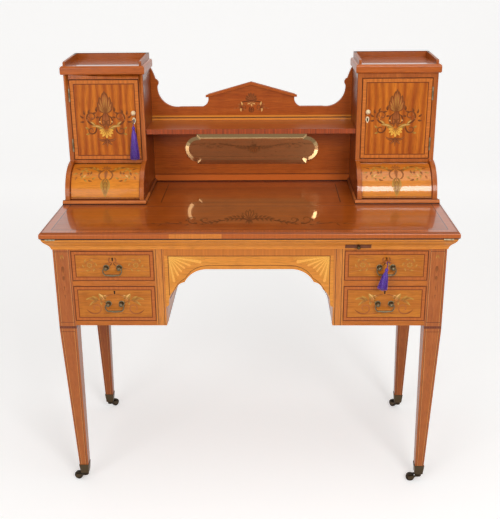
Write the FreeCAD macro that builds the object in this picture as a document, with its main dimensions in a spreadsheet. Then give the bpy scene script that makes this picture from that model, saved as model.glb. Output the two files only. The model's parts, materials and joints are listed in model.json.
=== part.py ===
"""Bonheur du jour: a writing desk on four tapered legs, with two pedestals of drawers, a fold-over
writing flap, and a stage of two cupboards over cylinder-fronted compartments, a shelf and a mirror.

Frame: +Z up, the front faces -Y, the origin on the floor in the middle of the overall box. Millimetres.
Every size is a cell of the sheet "Sizes"; a formula below names cells, and bind() ties it to them.
"""

import math
import os
import re

import FreeCAD, Part
from FreeCAD import Placement, Rotation, Vector

# Every driving size, in millimetres and degrees. The sheet below holds each one under its own name.

# The writing top
top_width = 1060  # width of the flap and the rear top
top_height = 765  # height of the writing top above the floor
body_depth = 520  # depth from the flap's front edge to the rear edge
rear_line = 270  # rear edge behind the frame's origin
flap_depth = 240  # depth of the fold-over flap
flap_thickness = 17.5  # thickness of the flap and of the step in the rear top
flap_gap = 0.5  # clearance between the closed flap and the pieces round it
bed_thickness = 33  # thickness of the moulded bed board under the flap
bed_inset = 4  # the bed board's edge inside the flap's edge
bed_fillet = 2.5  # height of the bed board's square upper edge
cove_run = 19  # how far the moulding draws in from there to its foot
foot_fillet = 3  # height of the fillet at the moulding's foot
top_overhang = 28  # the flap's front edge in front of the legs' faces
end_overhang = 25  # the top's ends outside the legs' faces
nose_radius = 7  # rounding of the upper edge of the flap's front and of the top's ends
nose_under = 4  # rounding of the lower edge there
leather_margin = 62  # wood left round the writing leather
leather_thickness = 1.0  # thickness of the writing leather
leather_recess = 1.2  # depth of the recess the leather lies in

# The frame below
leg_square = 46  # square of a leg beside the drawers
leg_low = 25  # square of a leg at the top of its caster cup
leg_toe = 20  # square of the leg's toe inside the cup
taper_drop = 12  # start of the leg's taper below the pedestal
toe_lean = 6  # the toe's middle inside the leg's middle, sideways and from front to back
toe_height = 31  # height of the leg's toe above the floor
cup_top = 57  # height of the cup's rim above the floor
pedestal_height = 215  # height of the pedestals from their underside to the bed board
pedestal_width = 287  # width of a pedestal
stile_width = 27  # width of the stile beside the kneehole
stile_depth = 22  # depth of that stile, the rails and their setting
side_thickness = 12  # thickness of the outer side panels
side_setback = 2  # the side and back panels inside the legs' faces
kneehole_thickness = 14  # thickness of the panel beside the kneehole
back_thickness = 10  # thickness of the pedestals' back panels
top_rail = 6  # height of the rail above the upper drawer
middle_rail = 15  # height of the rail between the drawers
bottom_rail = 13  # height of the rail under the lower drawer
dust_thickness = 9  # thickness of the boards the drawers run on
guide_height = 20  # height of the drawer guides
upper_opening = 82  # height of the upper drawer's opening
apron_thickness = 18  # thickness of the kneehole apron and the rear rail
apron_crown = 56.5  # height of the apron over the arch's crown
apron_foot = 162  # height of the apron at its ends
crown_reach = 106  # half width of the arch's flat crown
rear_rail_height = 74  # height of the rear rail

# Drawers and their handles
drawer_gap = 0.7  # clearance round a drawer front
front_thickness = 18  # thickness of a drawer front
drawer_length = 415  # length of a drawer box behind its front
drawer_side = 8  # thickness of a drawer's sides and back
drawer_bottom = 5  # thickness of a drawer's bottom
side_drop = 10  # the drawer's sides below the top of its front
upper_lock_drop = 22  # keyhole below the top of the upper front
lower_lock_drop = 17  # keyhole below the top of the lower front
upper_bail_drop = 45  # handle posts below the top of the upper front
lower_bail_drop = 49  # handle posts below the top of the lower front
post_spacing = 34  # distance between a handle's two posts
post_standoff = 12  # the bail's axis in front of the drawer
post_ball = 4.6  # radius of a post's head
post_neck = 3  # radius of a post's neck
rosette_radius = 8  # radius of a post's rosette
rosette_thickness = 1.6  # thickness of a post's rosette
bail_reach = 24  # half width of the bail
bail_drop = 18  # drop of the bail below its posts
bail_rod = 2  # radius of the bail's rod
running_fit = 0.1  # radial clearance of every pin in its hole

# Locks, keys and tassels
keyhole_radius = 2.15  # radius of the keyhole's round part
keyhole_slot = 2  # width of the keyhole's slot
keyhole_drop = 6.5  # length of the slot below the keyhole's centre
key_depth = 14  # length of the key's shank inside the lock
bow_ring = 4.7  # radius of the key's bow to the middle of its wire
bow_wire = 1.3  # radius of the wire of the key's bow
door_key_reach = 18  # tassel loop in front of the cupboard door
drawer_key_reach = 34  # tassel loop in front of the drawer, beyond the bail
loop_ring = 3.4  # radius of the tassel's loop
loop_cord = 0.8  # radius of the tassel's cord
tassel_cord = 10  # cord between the key and the tassel's head
tassel_head = 4.6  # radius of the tassel's head
tassel_skirt = 14  # radius of the tassel's skirt at its end
door_tassel = 94  # length of the door's tassel below its cord
drawer_tassel = 58  # length of the drawer's tassel below its cord
drawer_tassel_slant = 10  # degrees the drawer's tassel lies to the left

# Loper, its slot and its knob
loper_width = 66  # width of the pull-out loper
loper_height = 12.3  # height of the loper
loper_length = 250  # length of the loper
loper_gap = 0.4  # clearance of the loper in its slot
loper_drop = 17.7  # top of the loper's slot below the bed board's surface
loper_knob = 5  # radius of the loper's knob
loper_tenon = 8  # length of the knob's tenon in the loper
loper_standoff = 11  # centre of the loper's knob in front of the moulding

# The upper stage
cabinet_inset = 11  # cabinet's outer side inside the top's end
cabinet_width = 222  # width of a cabinet
cabinet_height = 346  # height of a cabinet to its top board's underside
cabinet_depth = 163  # depth of a cabinet above its cylinder front
cabinet_wall = 13  # thickness of a cabinet's sides
cabinet_back = 6  # thickness of a cabinet's back
cheek_radius = 93  # radius of the cheeks beside the cylinder front
pivot_height = 9  # the cylinder front's pivot above the rear top
lid_radius = 85  # outer radius of the cylinder front
lid_thickness = 7  # thickness of the cylinder front
lid_gap = 0.5  # clearance round the cylinder front
lid_start = 3  # degrees from level to the cylinder front's lower edge
lid_sweep = 84  # degrees of arc of the cylinder front
quadrant_thickness = 6  # thickness of the cylinder front's end quadrants
quadrant_hub = 6  # radius of the quadrants' hub
lid_pin = 2.5  # radius of the cylinder front's pivot pins
lid_pin_length = 6  # length of a pivot pin in the cabinet's side
floor_thickness = 10  # thickness of the cupboard's floor
door_rail = 13.5  # height of the rail above the door
cap_thickness = 24  # thickness of the cabinet's top board
cap_nose = 7  # rounding of the top board's upper front and end edges
cap_under = 4  # rounding of its lower front and end edges
cap_overhang = 6  # overhang of the top board and the plinth moulding at the sides
cap_front = 12  # overhang of the top board at the front
gallery_height = 17  # height of the gallery at the back
gallery_front = 11  # height of the gallery's sides at the front
gallery_thickness = 7  # thickness of the gallery
gallery_setback = 8  # gallery inside the top board's edge
plinth_height = 12  # height of the moulding round a cabinet's foot
plinth_front = 10  # projection of that moulding in front of the cheeks
plinth_slope = 5  # inset of the moulding's top edge
sill_depth = 16  # depth of the sill under the cylinder front
door_gap = 1.2  # clearance round a cupboard door
door_thickness = 15  # thickness of a cupboard door
lock_inset = 17  # keyhole and knob from the door's free edge
door_lock_height = 217  # keyhole of the door above the rear top
door_knob_height = 239.5  # knob of the door above the rear top
door_knob = 6.8  # radius of the door's knob
knob_neck = 3  # radius of the necks of the door's and the loper's knobs
knob_standoff = 9  # centre of a knob in front of its face

# Hinges
hinge_length = 36  # length of a door hinge
hinge_inset = 42  # middle of a door hinge from the door's end
hinge_leaf = 1.2  # thickness of a hinge leaf
leaf_depth = 12  # depth of a hinge leaf in the wood
knuckle_radius = 2.4  # radius of a hinge's knuckle
knuckle_gap = 0.4  # clearance between knuckles and beside them
hinge_pin = 1  # radius of a hinge's pin
flap_hinge_length = 24  # length of a flap hinge
flap_hinge_inset = 29  # middle of a flap hinge from the top's end

# The back of the stage
back_board = 12  # thickness of the back board
shelf_height = 190  # top of the shelf above the rear top
shelf_thickness = 14  # thickness of the shelf
shelf_setback = 7  # the shelf's front edge behind the doors
bead_size = 8  # square of the bead at the back of the shelf
mirror_height = 92  # height of the mirror plate
mirror_straight = 332  # length of the mirror's straight part
mirror_end = 39  # radius of the mirror's round ends
mirror_drop = 3  # inset of the mirror's end arcs
mirror_level = 100.5  # middle of the mirror above the rear top
mirror_plate = 4  # thickness of the mirror plate
mirror_sink = 2  # the mirror's face behind the back board's face
shoulder_height = 229.5  # flat of the back board's top edge above the rear top
tip_height = 266  # ends of the pediment above the rear top
peak_height = 302  # peak of the pediment above the rear top
pediment_half = 129  # half width of the pediment
neck_inset = 1.5  # inset of the hollow under the pediment's ends
neck_spread = 15  # foot of that hollow outside the pediment's end
moulding_height = 9  # height of the pediment's moulding
moulding_reach = 6  # projection of the pediment's moulding
ear_foot = 87  # width of the back board's rising end
ear_knuckle = 5  # radius of the round knuckle on the rising edge

# Casters
wheel_radius = 12  # radius of a caster wheel
wheel_width = 13  # width of a caster wheel
wheel_round = 3.5  # rounding of the wheel's tread
axle_radius = 2  # radius of the wheel's axle
caster_trail = 22  # wheel's axle behind the swivel's axis
fork_gap = 0.4  # clearance between the wheel and the fork
fork_plate = 2  # thickness of the fork's cheeks
crown_thickness = 4  # thickness of the fork's crown
crown_radius = 9  # radius of the fork's crown
stem_radius = 3  # radius of the swivel stem
stem_length = 6.5  # length of the stem above the crown
boss_radius = 8  # radius of the boss under the cup
boss_height = 5  # height of the boss under the cup
cup_floor = 3  # thickness of the cup's floor
cup_wall = 1.2  # thickness of the cup's wall
cup_fit = 0.2  # clearance of the leg's toe in the cup
trail_front_left = 165  # degrees from +X of the front left caster
trail_front_right = 172  # degrees from +X of the front right caster
trail_back_left = 55  # degrees from +X of the back left caster
trail_back_right = 125  # degrees from +X of the back right caster

driving = {name: number for name, number in vars().items() if isinstance(number, (int, float))}
doc = FreeCAD.newDocument("bonheur_du_jour")
sheet = doc.addObject("Spreadsheet::Sheet", "Sizes")
for row, name in enumerate(driving, 1):
    sheet.set(f"A{row}", str(driving[name]))
    sheet.setAlias(f"A{row}", name)
doc.recompute()
nodes = []

# Formulas that several pieces share, from the floor up
front = "(rear_line - body_depth)"
bed_top = "(top_height - flap_thickness - flap_gap)"
frame_top = f"({bed_top} - bed_thickness)"
pedestal_base = f"({frame_top} - pedestal_height)"
half_frame = "(top_width / 2 - end_overhang)"
face = f"({front} + top_overhang)"
rear_face = "(rear_line - top_overhang)"
kneehole = f"({half_frame} - pedestal_width)"
drawer_x = f"({kneehole} + stile_width)"
drawer_wide = "(pedestal_width - stile_width - leg_square)"
upper_top = f"({frame_top} - top_rail)"
upper_floor = f"({upper_top} - upper_opening)"
lower_top = f"({upper_floor} - middle_rail)"
lower_floor = f"({pedestal_base} + bottom_rail)"
cabinet_outer = "(top_width / 2 - cabinet_inset)"
cabinet_inner = f"({cabinet_outer} - cabinet_width)"
cabinet_face = "(rear_line - cabinet_depth)"
cabinet_roof = "(top_height + cabinet_height)"
pivot_z = "(top_height + pivot_height)"
floor_top = f"({pivot_z} + lid_radius + lid_gap + floor_thickness)"
door_x = f"({cabinet_inner} + cabinet_wall + door_gap)"
door_wide = "(cabinet_width - 2 * cabinet_wall - 2 * door_gap)"
door_foot = f"({floor_top} + door_gap)"
door_high = f"({cabinet_roof} - door_rail - {floor_top} - 2 * door_gap)"
board_face = "(rear_line - back_board)"
boss_foot = "(toe_height - cup_floor - boss_height)"

X_AXIS = Rotation(Vector(0, 1, 0), 90)
Y_AXIS = Rotation(Vector(1, 0, 0), -90)
UPRIGHT = Rotation(Vector(1, 0, 0), 90)
WHERE = {"x": "Placement.Base.x", "y": "Placement.Base.y", "z": "Placement.Base.z"}


def bind(item, **formulas):
    """Ties properties of an item to formulas of the sheet's cells."""
    for name, formula in formulas.items():
        cells = re.sub(r"[a-z_]+", lambda word: "Sizes." + word.group(), str(formula))
        item.setExpression(WHERE.get(name, name), cells)
    return item


def value(name):
    """Reads one size from the sheet."""
    return float(sheet.get(name))


def box(name, x, y, z, wide, deep, high):
    """A rectangular board from its left, front, lower corner."""
    item = doc.addObject("Part::Box", name)
    return bind(item, x=x, y=y, z=z, Length=wide, Width=deep, Height=high)


def rod(name, x, y, z, radius, length, turn=Rotation()):
    """A round rod that starts at a point and runs along +Z, or along X_AXIS or Y_AXIS."""
    item = doc.addObject("Part::Cylinder", name)
    item.Placement = Placement(Vector(), turn)
    return bind(item, x=x, y=y, z=z, Radius=radius, Height=length)


def ball(name, x, y, z, radius):
    """A ball round a point."""
    item = doc.addObject("Part::Sphere", name)
    return bind(item, x=x, y=y, z=z, Radius=radius)


def taper(name, x, y, z, high, low, top, lean=("0", "0")):
    """A tapered block whose foot is centred on x and y: low and top are its (wide, deep) at the two
    ends, and lean is how far its top's middle lies from its foot's middle along X and Y."""
    item = doc.addObject("Part::Wedge", name)
    item.Placement = Placement(Vector(), UPRIGHT)
    bind(item, x=x, y=y, z=z, Ymin=0, Ymax=high)
    bind(item, Xmin=f"-{low[0]} / 2", Xmax=f"{low[0]} / 2", Zmin=f"-{low[1]} / 2", Zmax=f"{low[1]} / 2")
    bind(item, X2min=f"{lean[0]} - {top[0]} / 2", X2max=f"{lean[0]} + {top[0]} / 2")
    bind(item, Z2min=f"-1 * ({lean[1]}) - {top[1]} / 2", Z2max=f"-1 * ({lean[1]}) + {top[1]} / 2")
    return item


def fuse(name, *pieces):
    """One solid from pieces that meet."""
    item = doc.addObject("Part::MultiFuse", name)
    item.Shapes = list(pieces)
    return item


def cut(name, base, *tools):
    """A piece less its tools."""
    item = doc.addObject("Part::Cut", name)
    item.Base = base
    item.Tool = tools[0] if len(tools) == 1 else fuse(name + "_tools", *tools)
    return item


def shaped(name, shape, x=0, y=0, z=0, turn=Rotation()):
    """A piece whose shape Part draws round its own origin, put at a point of the frame."""
    item = doc.addObject("Part::Feature", name)
    item.Shape = shape
    item.Placement = Placement(Vector(), turn)
    return bind(item, x=x, y=y, z=z)


def node(label, *pieces):
    """Names a sub-part: one piece, or a group of separate ones."""
    item = pieces[0]
    if len(pieces) > 1:
        item = doc.addObject("Part::Compound", label)
        item.Links = list(pieces)
    item.Label = label
    nodes.append(item)
    return item


def mirrored(side, x, wide="0"):
    """Left edge of a piece on the right (side 1) or its mirror image on the left (side -1)."""
    return x if side > 0 else f"-({x}) - ({wide})"


def side_box(name, side, x, y, z, wide, deep, high):
    """A board given for the right half, put on either side."""
    return box(name, mirrored(side, x, wide), y, z, wide, deep, high)


def plate(points, thickness):
    """A flat plate in the XZ plane, front face at y 0: points are corners, or (middle, end) of an arc."""
    edges = []
    here = Vector(points[0][0], 0, points[0][1])
    for point in points[1:] + points[:1]:
        if isinstance(point[0], tuple):
            middle, end = (Vector(p[0], 0, p[1]) for p in point)
            edges.append(Part.Arc(here, middle, end).toShape())
        else:
            end = Vector(point[0], 0, point[1])
            edges.append(Part.makeLine(here, end))
        here = end
    return Part.Face(Part.Wire(edges)).extrude(Vector(0, thickness, 0))


def nosed_board(wide, deep, high, upper, lower, front_edge=True):
    """A board in the middle of x, its front edge at y 0, with its ends and its front rounded."""
    board = Part.makeBox(wide, deep, high, Vector(-wide / 2, 0, 0))
    for level, radius in ((high, upper), (0, lower)):
        rims = []
        for edge in board.Edges:
            middle = edge.CenterOfMass
            at_end = abs(abs(middle.x) - wide / 2) < 0.01
            if abs(middle.z - level) < 0.01 and (at_end or front_edge and abs(middle.y) < 0.01):
                rims.append(edge)
        board = board.makeFillet(radius, rims)
    return board


SIDES = {"left": -1, "right": 1}


def toe_middle(row, side):
    """The middle of one leg's toe: its x and y."""
    y = f"({face} + leg_square / 2 + toe_lean)"
    if row == "back":
        y = f"({rear_face} - leg_square / 2 - toe_lean)"
    return mirrored(side, f"({half_frame} - leg_square / 2 - toe_lean)"), y


def legs():
    """Four square legs, straight beside the drawers, tapered below and more so on their outer faces,
    with a toe cut for the cup."""
    low = ("leg_low", "leg_low")
    toe = ("leg_toe", "leg_toe")
    full = ("leg_square", "leg_square")
    shoulder = f"({pedestal_base} - taper_drop)"
    for row, corner_y in {"front": face, "back": f"{rear_face} - leg_square"}.items():
        for hand, side in SIDES.items():
            name = f"leg_{row}_{hand}"
            x, y = toe_middle(row, side)
            out = (f"{side} * toe_lean", "-1 * toe_lean" if row == "front" else "toe_lean")
            stile = side_box(name + "_stile", side, f"{half_frame} - leg_square", corner_y, shoulder,
                             "leg_square", "leg_square", f"{frame_top} - {shoulder}")
            shank = taper(name + "_shank", x, y, "cup_top", f"{shoulder} - cup_top", low, full, out)
            foot = taper(name + "_toe", x, y, "toe_height", "cup_top - toe_height", toe, low)
            node(name, fuse(name, stile, shank, foot))


def pedestal_sides():
    """Outer panels between the legs, and the kneehole panels with their front stiles."""
    pieces = []
    between = f"({rear_face} - {face} - 2 * leg_square)"
    for hand, side in SIDES.items():
        pieces.append(side_box(f"{hand}_side_panel", side, f"{half_frame} - side_setback - side_thickness",
                               f"{face} + leg_square", pedestal_base, "side_thickness", between,
                               "pedestal_height"))
        pieces.append(side_box(f"{hand}_stile", side, kneehole, face, pedestal_base,
                               "stile_width", "stile_depth", "pedestal_height"))
        pieces.append(side_box(f"{hand}_kneehole_panel", side, kneehole, f"{face} + stile_depth",
                               pedestal_base, "kneehole_thickness",
                               f"{rear_face} - {face} - stile_depth", "pedestal_height"))
    node("pedestal_sides", *pieces)


def drawer_frames():
    """Rails across the front, and the boards and guides that the drawers run on."""
    pieces = []
    board_x = f"({kneehole} + kneehole_thickness)"
    board_wide = "(pedestal_width - kneehole_thickness - leg_square)"
    board_deep = f"({rear_face} - {face} - stile_depth - side_setback - back_thickness)"
    guide_wide = "(leg_square - side_setback - side_thickness)"
    guide_deep = f"({rear_face} - {face} - 2 * leg_square)"
    levels = {"lower": (lower_floor, "bottom_rail"), "upper": (upper_floor, "middle_rail")}
    for hand, side in SIDES.items():
        pieces.append(side_box(f"{hand}_top_rail", side, drawer_x, face, upper_top,
                               drawer_wide, "stile_depth", "top_rail"))
        for level, (floor, rail) in levels.items():
            name = f"{hand}_{level}"
            pieces.append(side_box(name + "_rail", side, drawer_x, face, f"{floor} - {rail}",
                                   drawer_wide, "stile_depth", rail))
            pieces.append(side_box(name + "_dust_board", side, board_x, f"{face} + stile_depth",
                                   f"{floor} - dust_thickness", board_wide, board_deep, "dust_thickness"))
            pieces.append(side_box(name + "_near_guide", side, board_x, f"{face} + stile_depth", floor,
                                   "stile_width - kneehole_thickness", board_deep, "guide_height / 2"))
            pieces.append(side_box(name + "_far_guide", side, f"{half_frame} - leg_square",
                                   f"{face} + leg_square", f"{floor} - dust_thickness",
                                   guide_wide, guide_deep, "guide_height"))
    node("drawer_frames", *pieces)


def back_panels():
    """Back panels of the two pedestals, and the rail between them over the kneehole."""
    y = f"{rear_face} - side_setback - back_thickness"
    pieces = []
    for hand, side in SIDES.items():
        pieces.append(side_box(f"{hand}_back_panel", side, f"{kneehole} + kneehole_thickness", y,
                               pedestal_base, "pedestal_width - kneehole_thickness - leg_square",
                               "back_thickness", "pedestal_height"))
    pieces.append(box("rear_rail", f"-{kneehole}", f"{rear_face} - side_setback - apron_thickness",
                      f"{frame_top} - rear_rail_height", f"2 * {kneehole}", "apron_thickness",
                      "rear_rail_height"))
    node("back_panels", *pieces)


def apron():
    """The kneehole's front apron: a flat crown, a scalloped corner on each side and two pointed feet."""
    half = value("top_width") / 2 - value("end_overhang") - value("pedestal_width")
    crown = -value("apron_crown")
    foot = -value("apron_foot")
    reach = value("crown_reach")
    wide = half - reach
    rise = crown - foot
    lobe = (reach + 0.55 * wide, crown - 0.34 * rise)
    cusp = (reach + 0.76 * wide, crown - 0.53 * rise)
    crown_bulge = (reach + 0.36 * wide, crown - 0.11 * rise)
    lobe_bulge = (reach + 0.68 * wide, crown - 0.40 * rise)
    foot_bulge = (reach + 0.86 * wide, crown - 0.64 * rise)
    ankle = (reach + 0.93 * wide, crown - 0.94 * rise)
    toe_bulge = (reach + 0.96 * wide, crown - 0.98 * rise)
    right = [(reach, crown), (crown_bulge, lobe), (lobe_bulge, cusp), (foot_bulge, ankle),
             (toe_bulge, (half, foot)), (half, 0)]
    left = [(-half, 0), (-half, foot)]
    for middle, end in ((toe_bulge, ankle), (foot_bulge, cusp), (lobe_bulge, lobe),
                        (crown_bulge, (reach, crown))):
        left.append(((-middle[0], middle[1]), (-end[0], end[1])))
    board = plate(right + left, value("apron_thickness"))
    node("apron", shaped("apron", board, y=face, z=frame_top))


loper_face = f"({front} + bed_inset + 0.84 * cove_run)"


def loper_block(name, gap):
    """The loper's own block from the front edge inwards, or with a gap the slot it runs in."""
    z = f"{bed_top} - loper_drop - loper_gap - loper_height - {gap}"
    return box(name, f"{drawer_x} - {gap}", front, z, f"loper_width + 2 * {gap}",
               f"{loper_face} - {front} + loper_length + {gap}", f"loper_height + 2 * {gap}")


def moulded_board(name):
    """The bed board's blank: a thin square upper edge, a shallow ogee sloping in and a small fillet."""
    def outline(inset):
        return (f"(top_width - 2 * bed_inset - 2 * {inset})", f"(body_depth - 2 * bed_inset - 2 * {inset})")
    y = "rear_line - body_depth / 2"
    high = "(bed_thickness - bed_fillet - foot_fillet)"
    steps = 8
    turns = [2 * math.pi * step / steps for step in range(steps + 1)]
    insets = [f"({turn / (2 * math.pi) - 0.07 * math.sin(turn):.5f} * cove_run)" for turn in turns]
    edge = taper(name + "_edge", 0, y, f"{bed_top} - bed_fillet", "bed_fillet", outline("0"), outline("0"))
    foot = taper(name + "_foot", 0, y, frame_top, "foot_fillet", outline(insets[-1]), outline(insets[-1]))
    pieces = [edge, foot]
    for step in range(steps):
        z = f"{bed_top} - bed_fillet - {step + 1} * {high} / {steps}"
        pieces.append(taper(f"{name}_ogee_{step}", 0, y, z, f"{high} / {steps}", outline(insets[step + 1]),
                            outline(insets[step])))
    return fuse(name, *pieces)


def bed_board():
    """The fixed board under the flap, with the loper's slot and the beds of the leather and hinges."""
    recess = leather("bed_leather_recess", f"{bed_top} - leather_recess", "leather_recess + flap_gap")
    tools = [recess, loper_block("loper_slot", "loper_gap")]
    for hand, side in SIDES.items():
        tools.append(knuckle_notch(f"bed_notch_{hand}", side))
        tools.append(flap_leaf(f"bed_leaf_bed_{hand}", side, "-1"))
    node("bed_board", cut("bed_board", moulded_board("bed_blank"), *tools))
    node("bed_leather", leather("bed_leather", f"{bed_top} - leather_recess", "leather_thickness"))


def leather(name, z, high):
    """The writing leather's outline on the flap or the bed, as its sheet or its recess."""
    return box(name, "leather_margin - top_width / 2", f"{front} + leather_margin / 2", z,
               "top_width - 2 * leather_margin", "flap_depth - leather_margin", high)


def knuckle_notch(name, side):
    """The notch round a flap hinge's knuckles, through the edges of the flap and the bed board."""
    radius = "(knuckle_radius + knuckle_gap)"
    wide = "(flap_hinge_length + 2 * knuckle_gap)"
    return side_box(name, side, f"top_width / 2 - flap_hinge_inset - {wide} / 2",
                    f"{front} - knuckle_gap - {radius}", f"{bed_top} + flap_gap / 2 - {radius}", wide,
                    f"2 * {radius} + bed_inset", f"2 * {radius}")


def rear_top():
    """The fixed rear half of the writing top."""
    deep = value("body_depth") - value("flap_depth") - value("flap_gap")
    high = value("flap_thickness") + value("flap_gap")
    board = nosed_board(value("top_width"), deep, high, value("nose_radius"), value("nose_under"), False)
    node("rear_top", shaped("rear_top", board, y=f"{front} + flap_depth + flap_gap", z=bed_top))


def writing_flap():
    """The fold-over flap, its leather and its hinge leaves."""
    blank = nosed_board(value("top_width"), value("flap_depth"), value("flap_thickness"),
                        value("nose_radius"), value("nose_under"))
    board = shaped("flap_blank", blank, y=front, z=f"{bed_top} + flap_gap")
    recess = leather("flap_leather_recess", bed_top, "flap_gap + leather_recess")
    notches = [knuckle_notch(f"flap_notch_{hand}", side) for hand, side in SIDES.items()]
    beds = [flap_leaf(f"flap_leaf_bed_{hand}", side, "1") for hand, side in SIDES.items()]
    node("writing_flap", cut("writing_flap", board, recess, *notches, *beds))
    sheet_z = f"{bed_top} + flap_gap + leather_recess - leather_thickness"
    node("flap_leather", leather("flap_leather", sheet_z, "leather_thickness"))


def flap_leaf(name, side, level):
    """A flap hinge's leaf, on the flap's underside (level 1) or the bed's surface (level -1)."""
    z = f"{bed_top} + flap_gap" if level == "1" else f"{bed_top} - hinge_leaf"
    return side_box(name, side, "top_width / 2 - flap_hinge_inset - flap_hinge_length / 2",
                    f"{front} + bed_inset", z, "flap_hinge_length", "leaf_depth", "hinge_leaf")


def loper():
    """The pull-out loper that carries the open flap, its face shaped to the moulding, and its knob."""
    x = f"{drawer_x} + loper_width / 2"
    y = f"{loper_face} - loper_standoff"
    z = f"{bed_top} - loper_drop - loper_gap - loper_height / 2"
    bar = doc.addObject("Part::Common", "loper_bar")
    bar.Base = loper_block("loper_blank", "0")
    bar.Tool = moulded_board("loper_moulding")
    tenon = rod("loper_mortise", x, y, z, "knob_neck", "loper_standoff + loper_tenon", Y_AXIS)
    node("loper", cut("loper", bar, tenon))
    neck = rod("loper_knob_neck", x, y, z, "knob_neck", "loper_standoff + loper_tenon", Y_AXIS)
    node("loper_knob", fuse("loper_knob", neck, ball("loper_knob_head", x, y, z, "loper_knob")))


def keyhole(name, x, y, z, depth):
    """The tool that cuts a keyhole: a round hole with a slot below."""
    hole = rod(name + "_round", x, y, z, "keyhole_radius", depth, Y_AXIS)
    slot = box(name + "_slot", f"{x} - keyhole_slot / 2", y, f"{z} - keyhole_drop",
               "keyhole_slot", depth, "keyhole_drop")
    return fuse(name, hole, slot)


def drawer(level, hand, side, top, floor, lock_drop, bail_drop):
    """One drawer: its front, the four boards of its box, its handle posts and its bail."""
    name = f"{level}_{hand}"
    middle = mirrored(side, f"({drawer_x} + {drawer_wide} / 2)")
    x = f"({drawer_x} + drawer_gap)"
    wide = f"({drawer_wide} - 2 * drawer_gap)"
    foot = f"({floor} + drawer_gap)"
    board = side_box(name + "_board", side, x, face, foot, wide, "front_thickness",
                     f"{top} - {floor} - 2 * drawer_gap")
    hole = keyhole(name + "_keyhole", middle, face, f"{top} - {lock_drop}", "front_thickness")
    node(f"drawer_front_{name}", cut(name + "_front", board, hole))
    behind = f"({face} + front_thickness)"
    high = f"({top} - {floor} - 2 * drawer_gap - side_drop)"
    left = side_box(name + "_near_side", side, x, behind, foot, "drawer_side", "drawer_length", high)
    right = side_box(name + "_far_side", side, f"{x} + {wide} - drawer_side", behind, foot,
                     "drawer_side", "drawer_length", high)
    inner = f"({wide} - 2 * drawer_side)"
    back = side_box(name + "_back", side, f"{x} + drawer_side", f"{behind} + drawer_length - drawer_side",
                    foot, inner, "drawer_side", high)
    bottom = side_box(name + "_bottom", side, f"{x} + drawer_side", behind, foot, inner,
                      "drawer_length - drawer_side", "drawer_bottom")
    node(f"drawer_box_{name}", left, right, back, bottom)
    handle(name, middle, f"({top} - {bail_drop})")


def handle(name, x, z):
    """Two turned posts with rosettes, and the swan-neck bail that hangs between them."""
    axis = f"({face} - post_standoff)"
    posts = []
    for hand, side in SIDES.items():
        post = f"{name}_post_{hand}"
        post_x = f"{x} + {side} * post_spacing / 2"
        rosette = rod(post + "_rosette", post_x, f"{face} - rosette_thickness", z, "rosette_radius",
                      "rosette_thickness", Y_AXIS)
        neck = rod(post + "_neck", post_x, axis, z, "post_neck", "post_standoff", Y_AXIS)
        head = ball(post + "_head", post_x, axis, z, "post_ball")
        hole = rod(post + "_hole", f"{post_x} - post_ball", axis, z, "bail_rod + running_fit",
                   "2 * post_ball", X_AXIS)
        posts.append(cut(post, fuse(post + "_body", rosette, neck, head), hole))
    node(f"handle_posts_{name}", *posts)
    node(f"bail_{name}", shaped(f"bail_{name}", bail_shape(), x, axis, z))


def bail_shape():
    """A round rod bent out of one post, down, across and up into the other post."""
    pin = value("post_spacing") / 2 - value("post_ball")
    reach = value("bail_reach")
    drop = value("bail_drop")
    radius = value("bail_rod")
    shoulder = 1.7 * radius
    hip = 0.75 * (drop - shoulder)
    bend = 1 - math.sqrt(0.5)
    knee = Vector(reach, 0, hip - drop)
    floor = Vector(reach - hip, 0, -drop)
    turns = [Part.makeLine(Vector(pin, 0, 0), Vector(reach - shoulder, 0, 0)),
             Part.Arc(Vector(reach - shoulder, 0, 0), Vector(reach - bend * shoulder, 0, -bend * shoulder),
                      Vector(reach, 0, -shoulder)).toShape(),
             Part.makeLine(Vector(reach, 0, -shoulder), knee),
             Part.Arc(knee, Vector(reach - bend * hip, 0, bend * hip - drop), floor).toShape()]
    other = [edge.mirror(Vector(), Vector(1, 0, 0)) for edge in reversed(turns)]
    across = Part.makeLine(floor, Vector(-floor.x, 0, floor.z))
    spine = Part.Wire([*turns, across, *other])
    section = Part.Wire(Part.makeCircle(radius, Vector(pin, 0, 0), Vector(1, 0, 0)))
    return spine.makePipeShell([section], True, False)


def drawers():
    """Two drawers in each pedestal."""
    for hand, side in SIDES.items():
        drawer("upper", hand, side, upper_top, upper_floor, "upper_lock_drop", "upper_bail_drop")
        drawer("lower", hand, side, lower_top, lower_floor, "lower_lock_drop", "lower_bail_drop")


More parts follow.
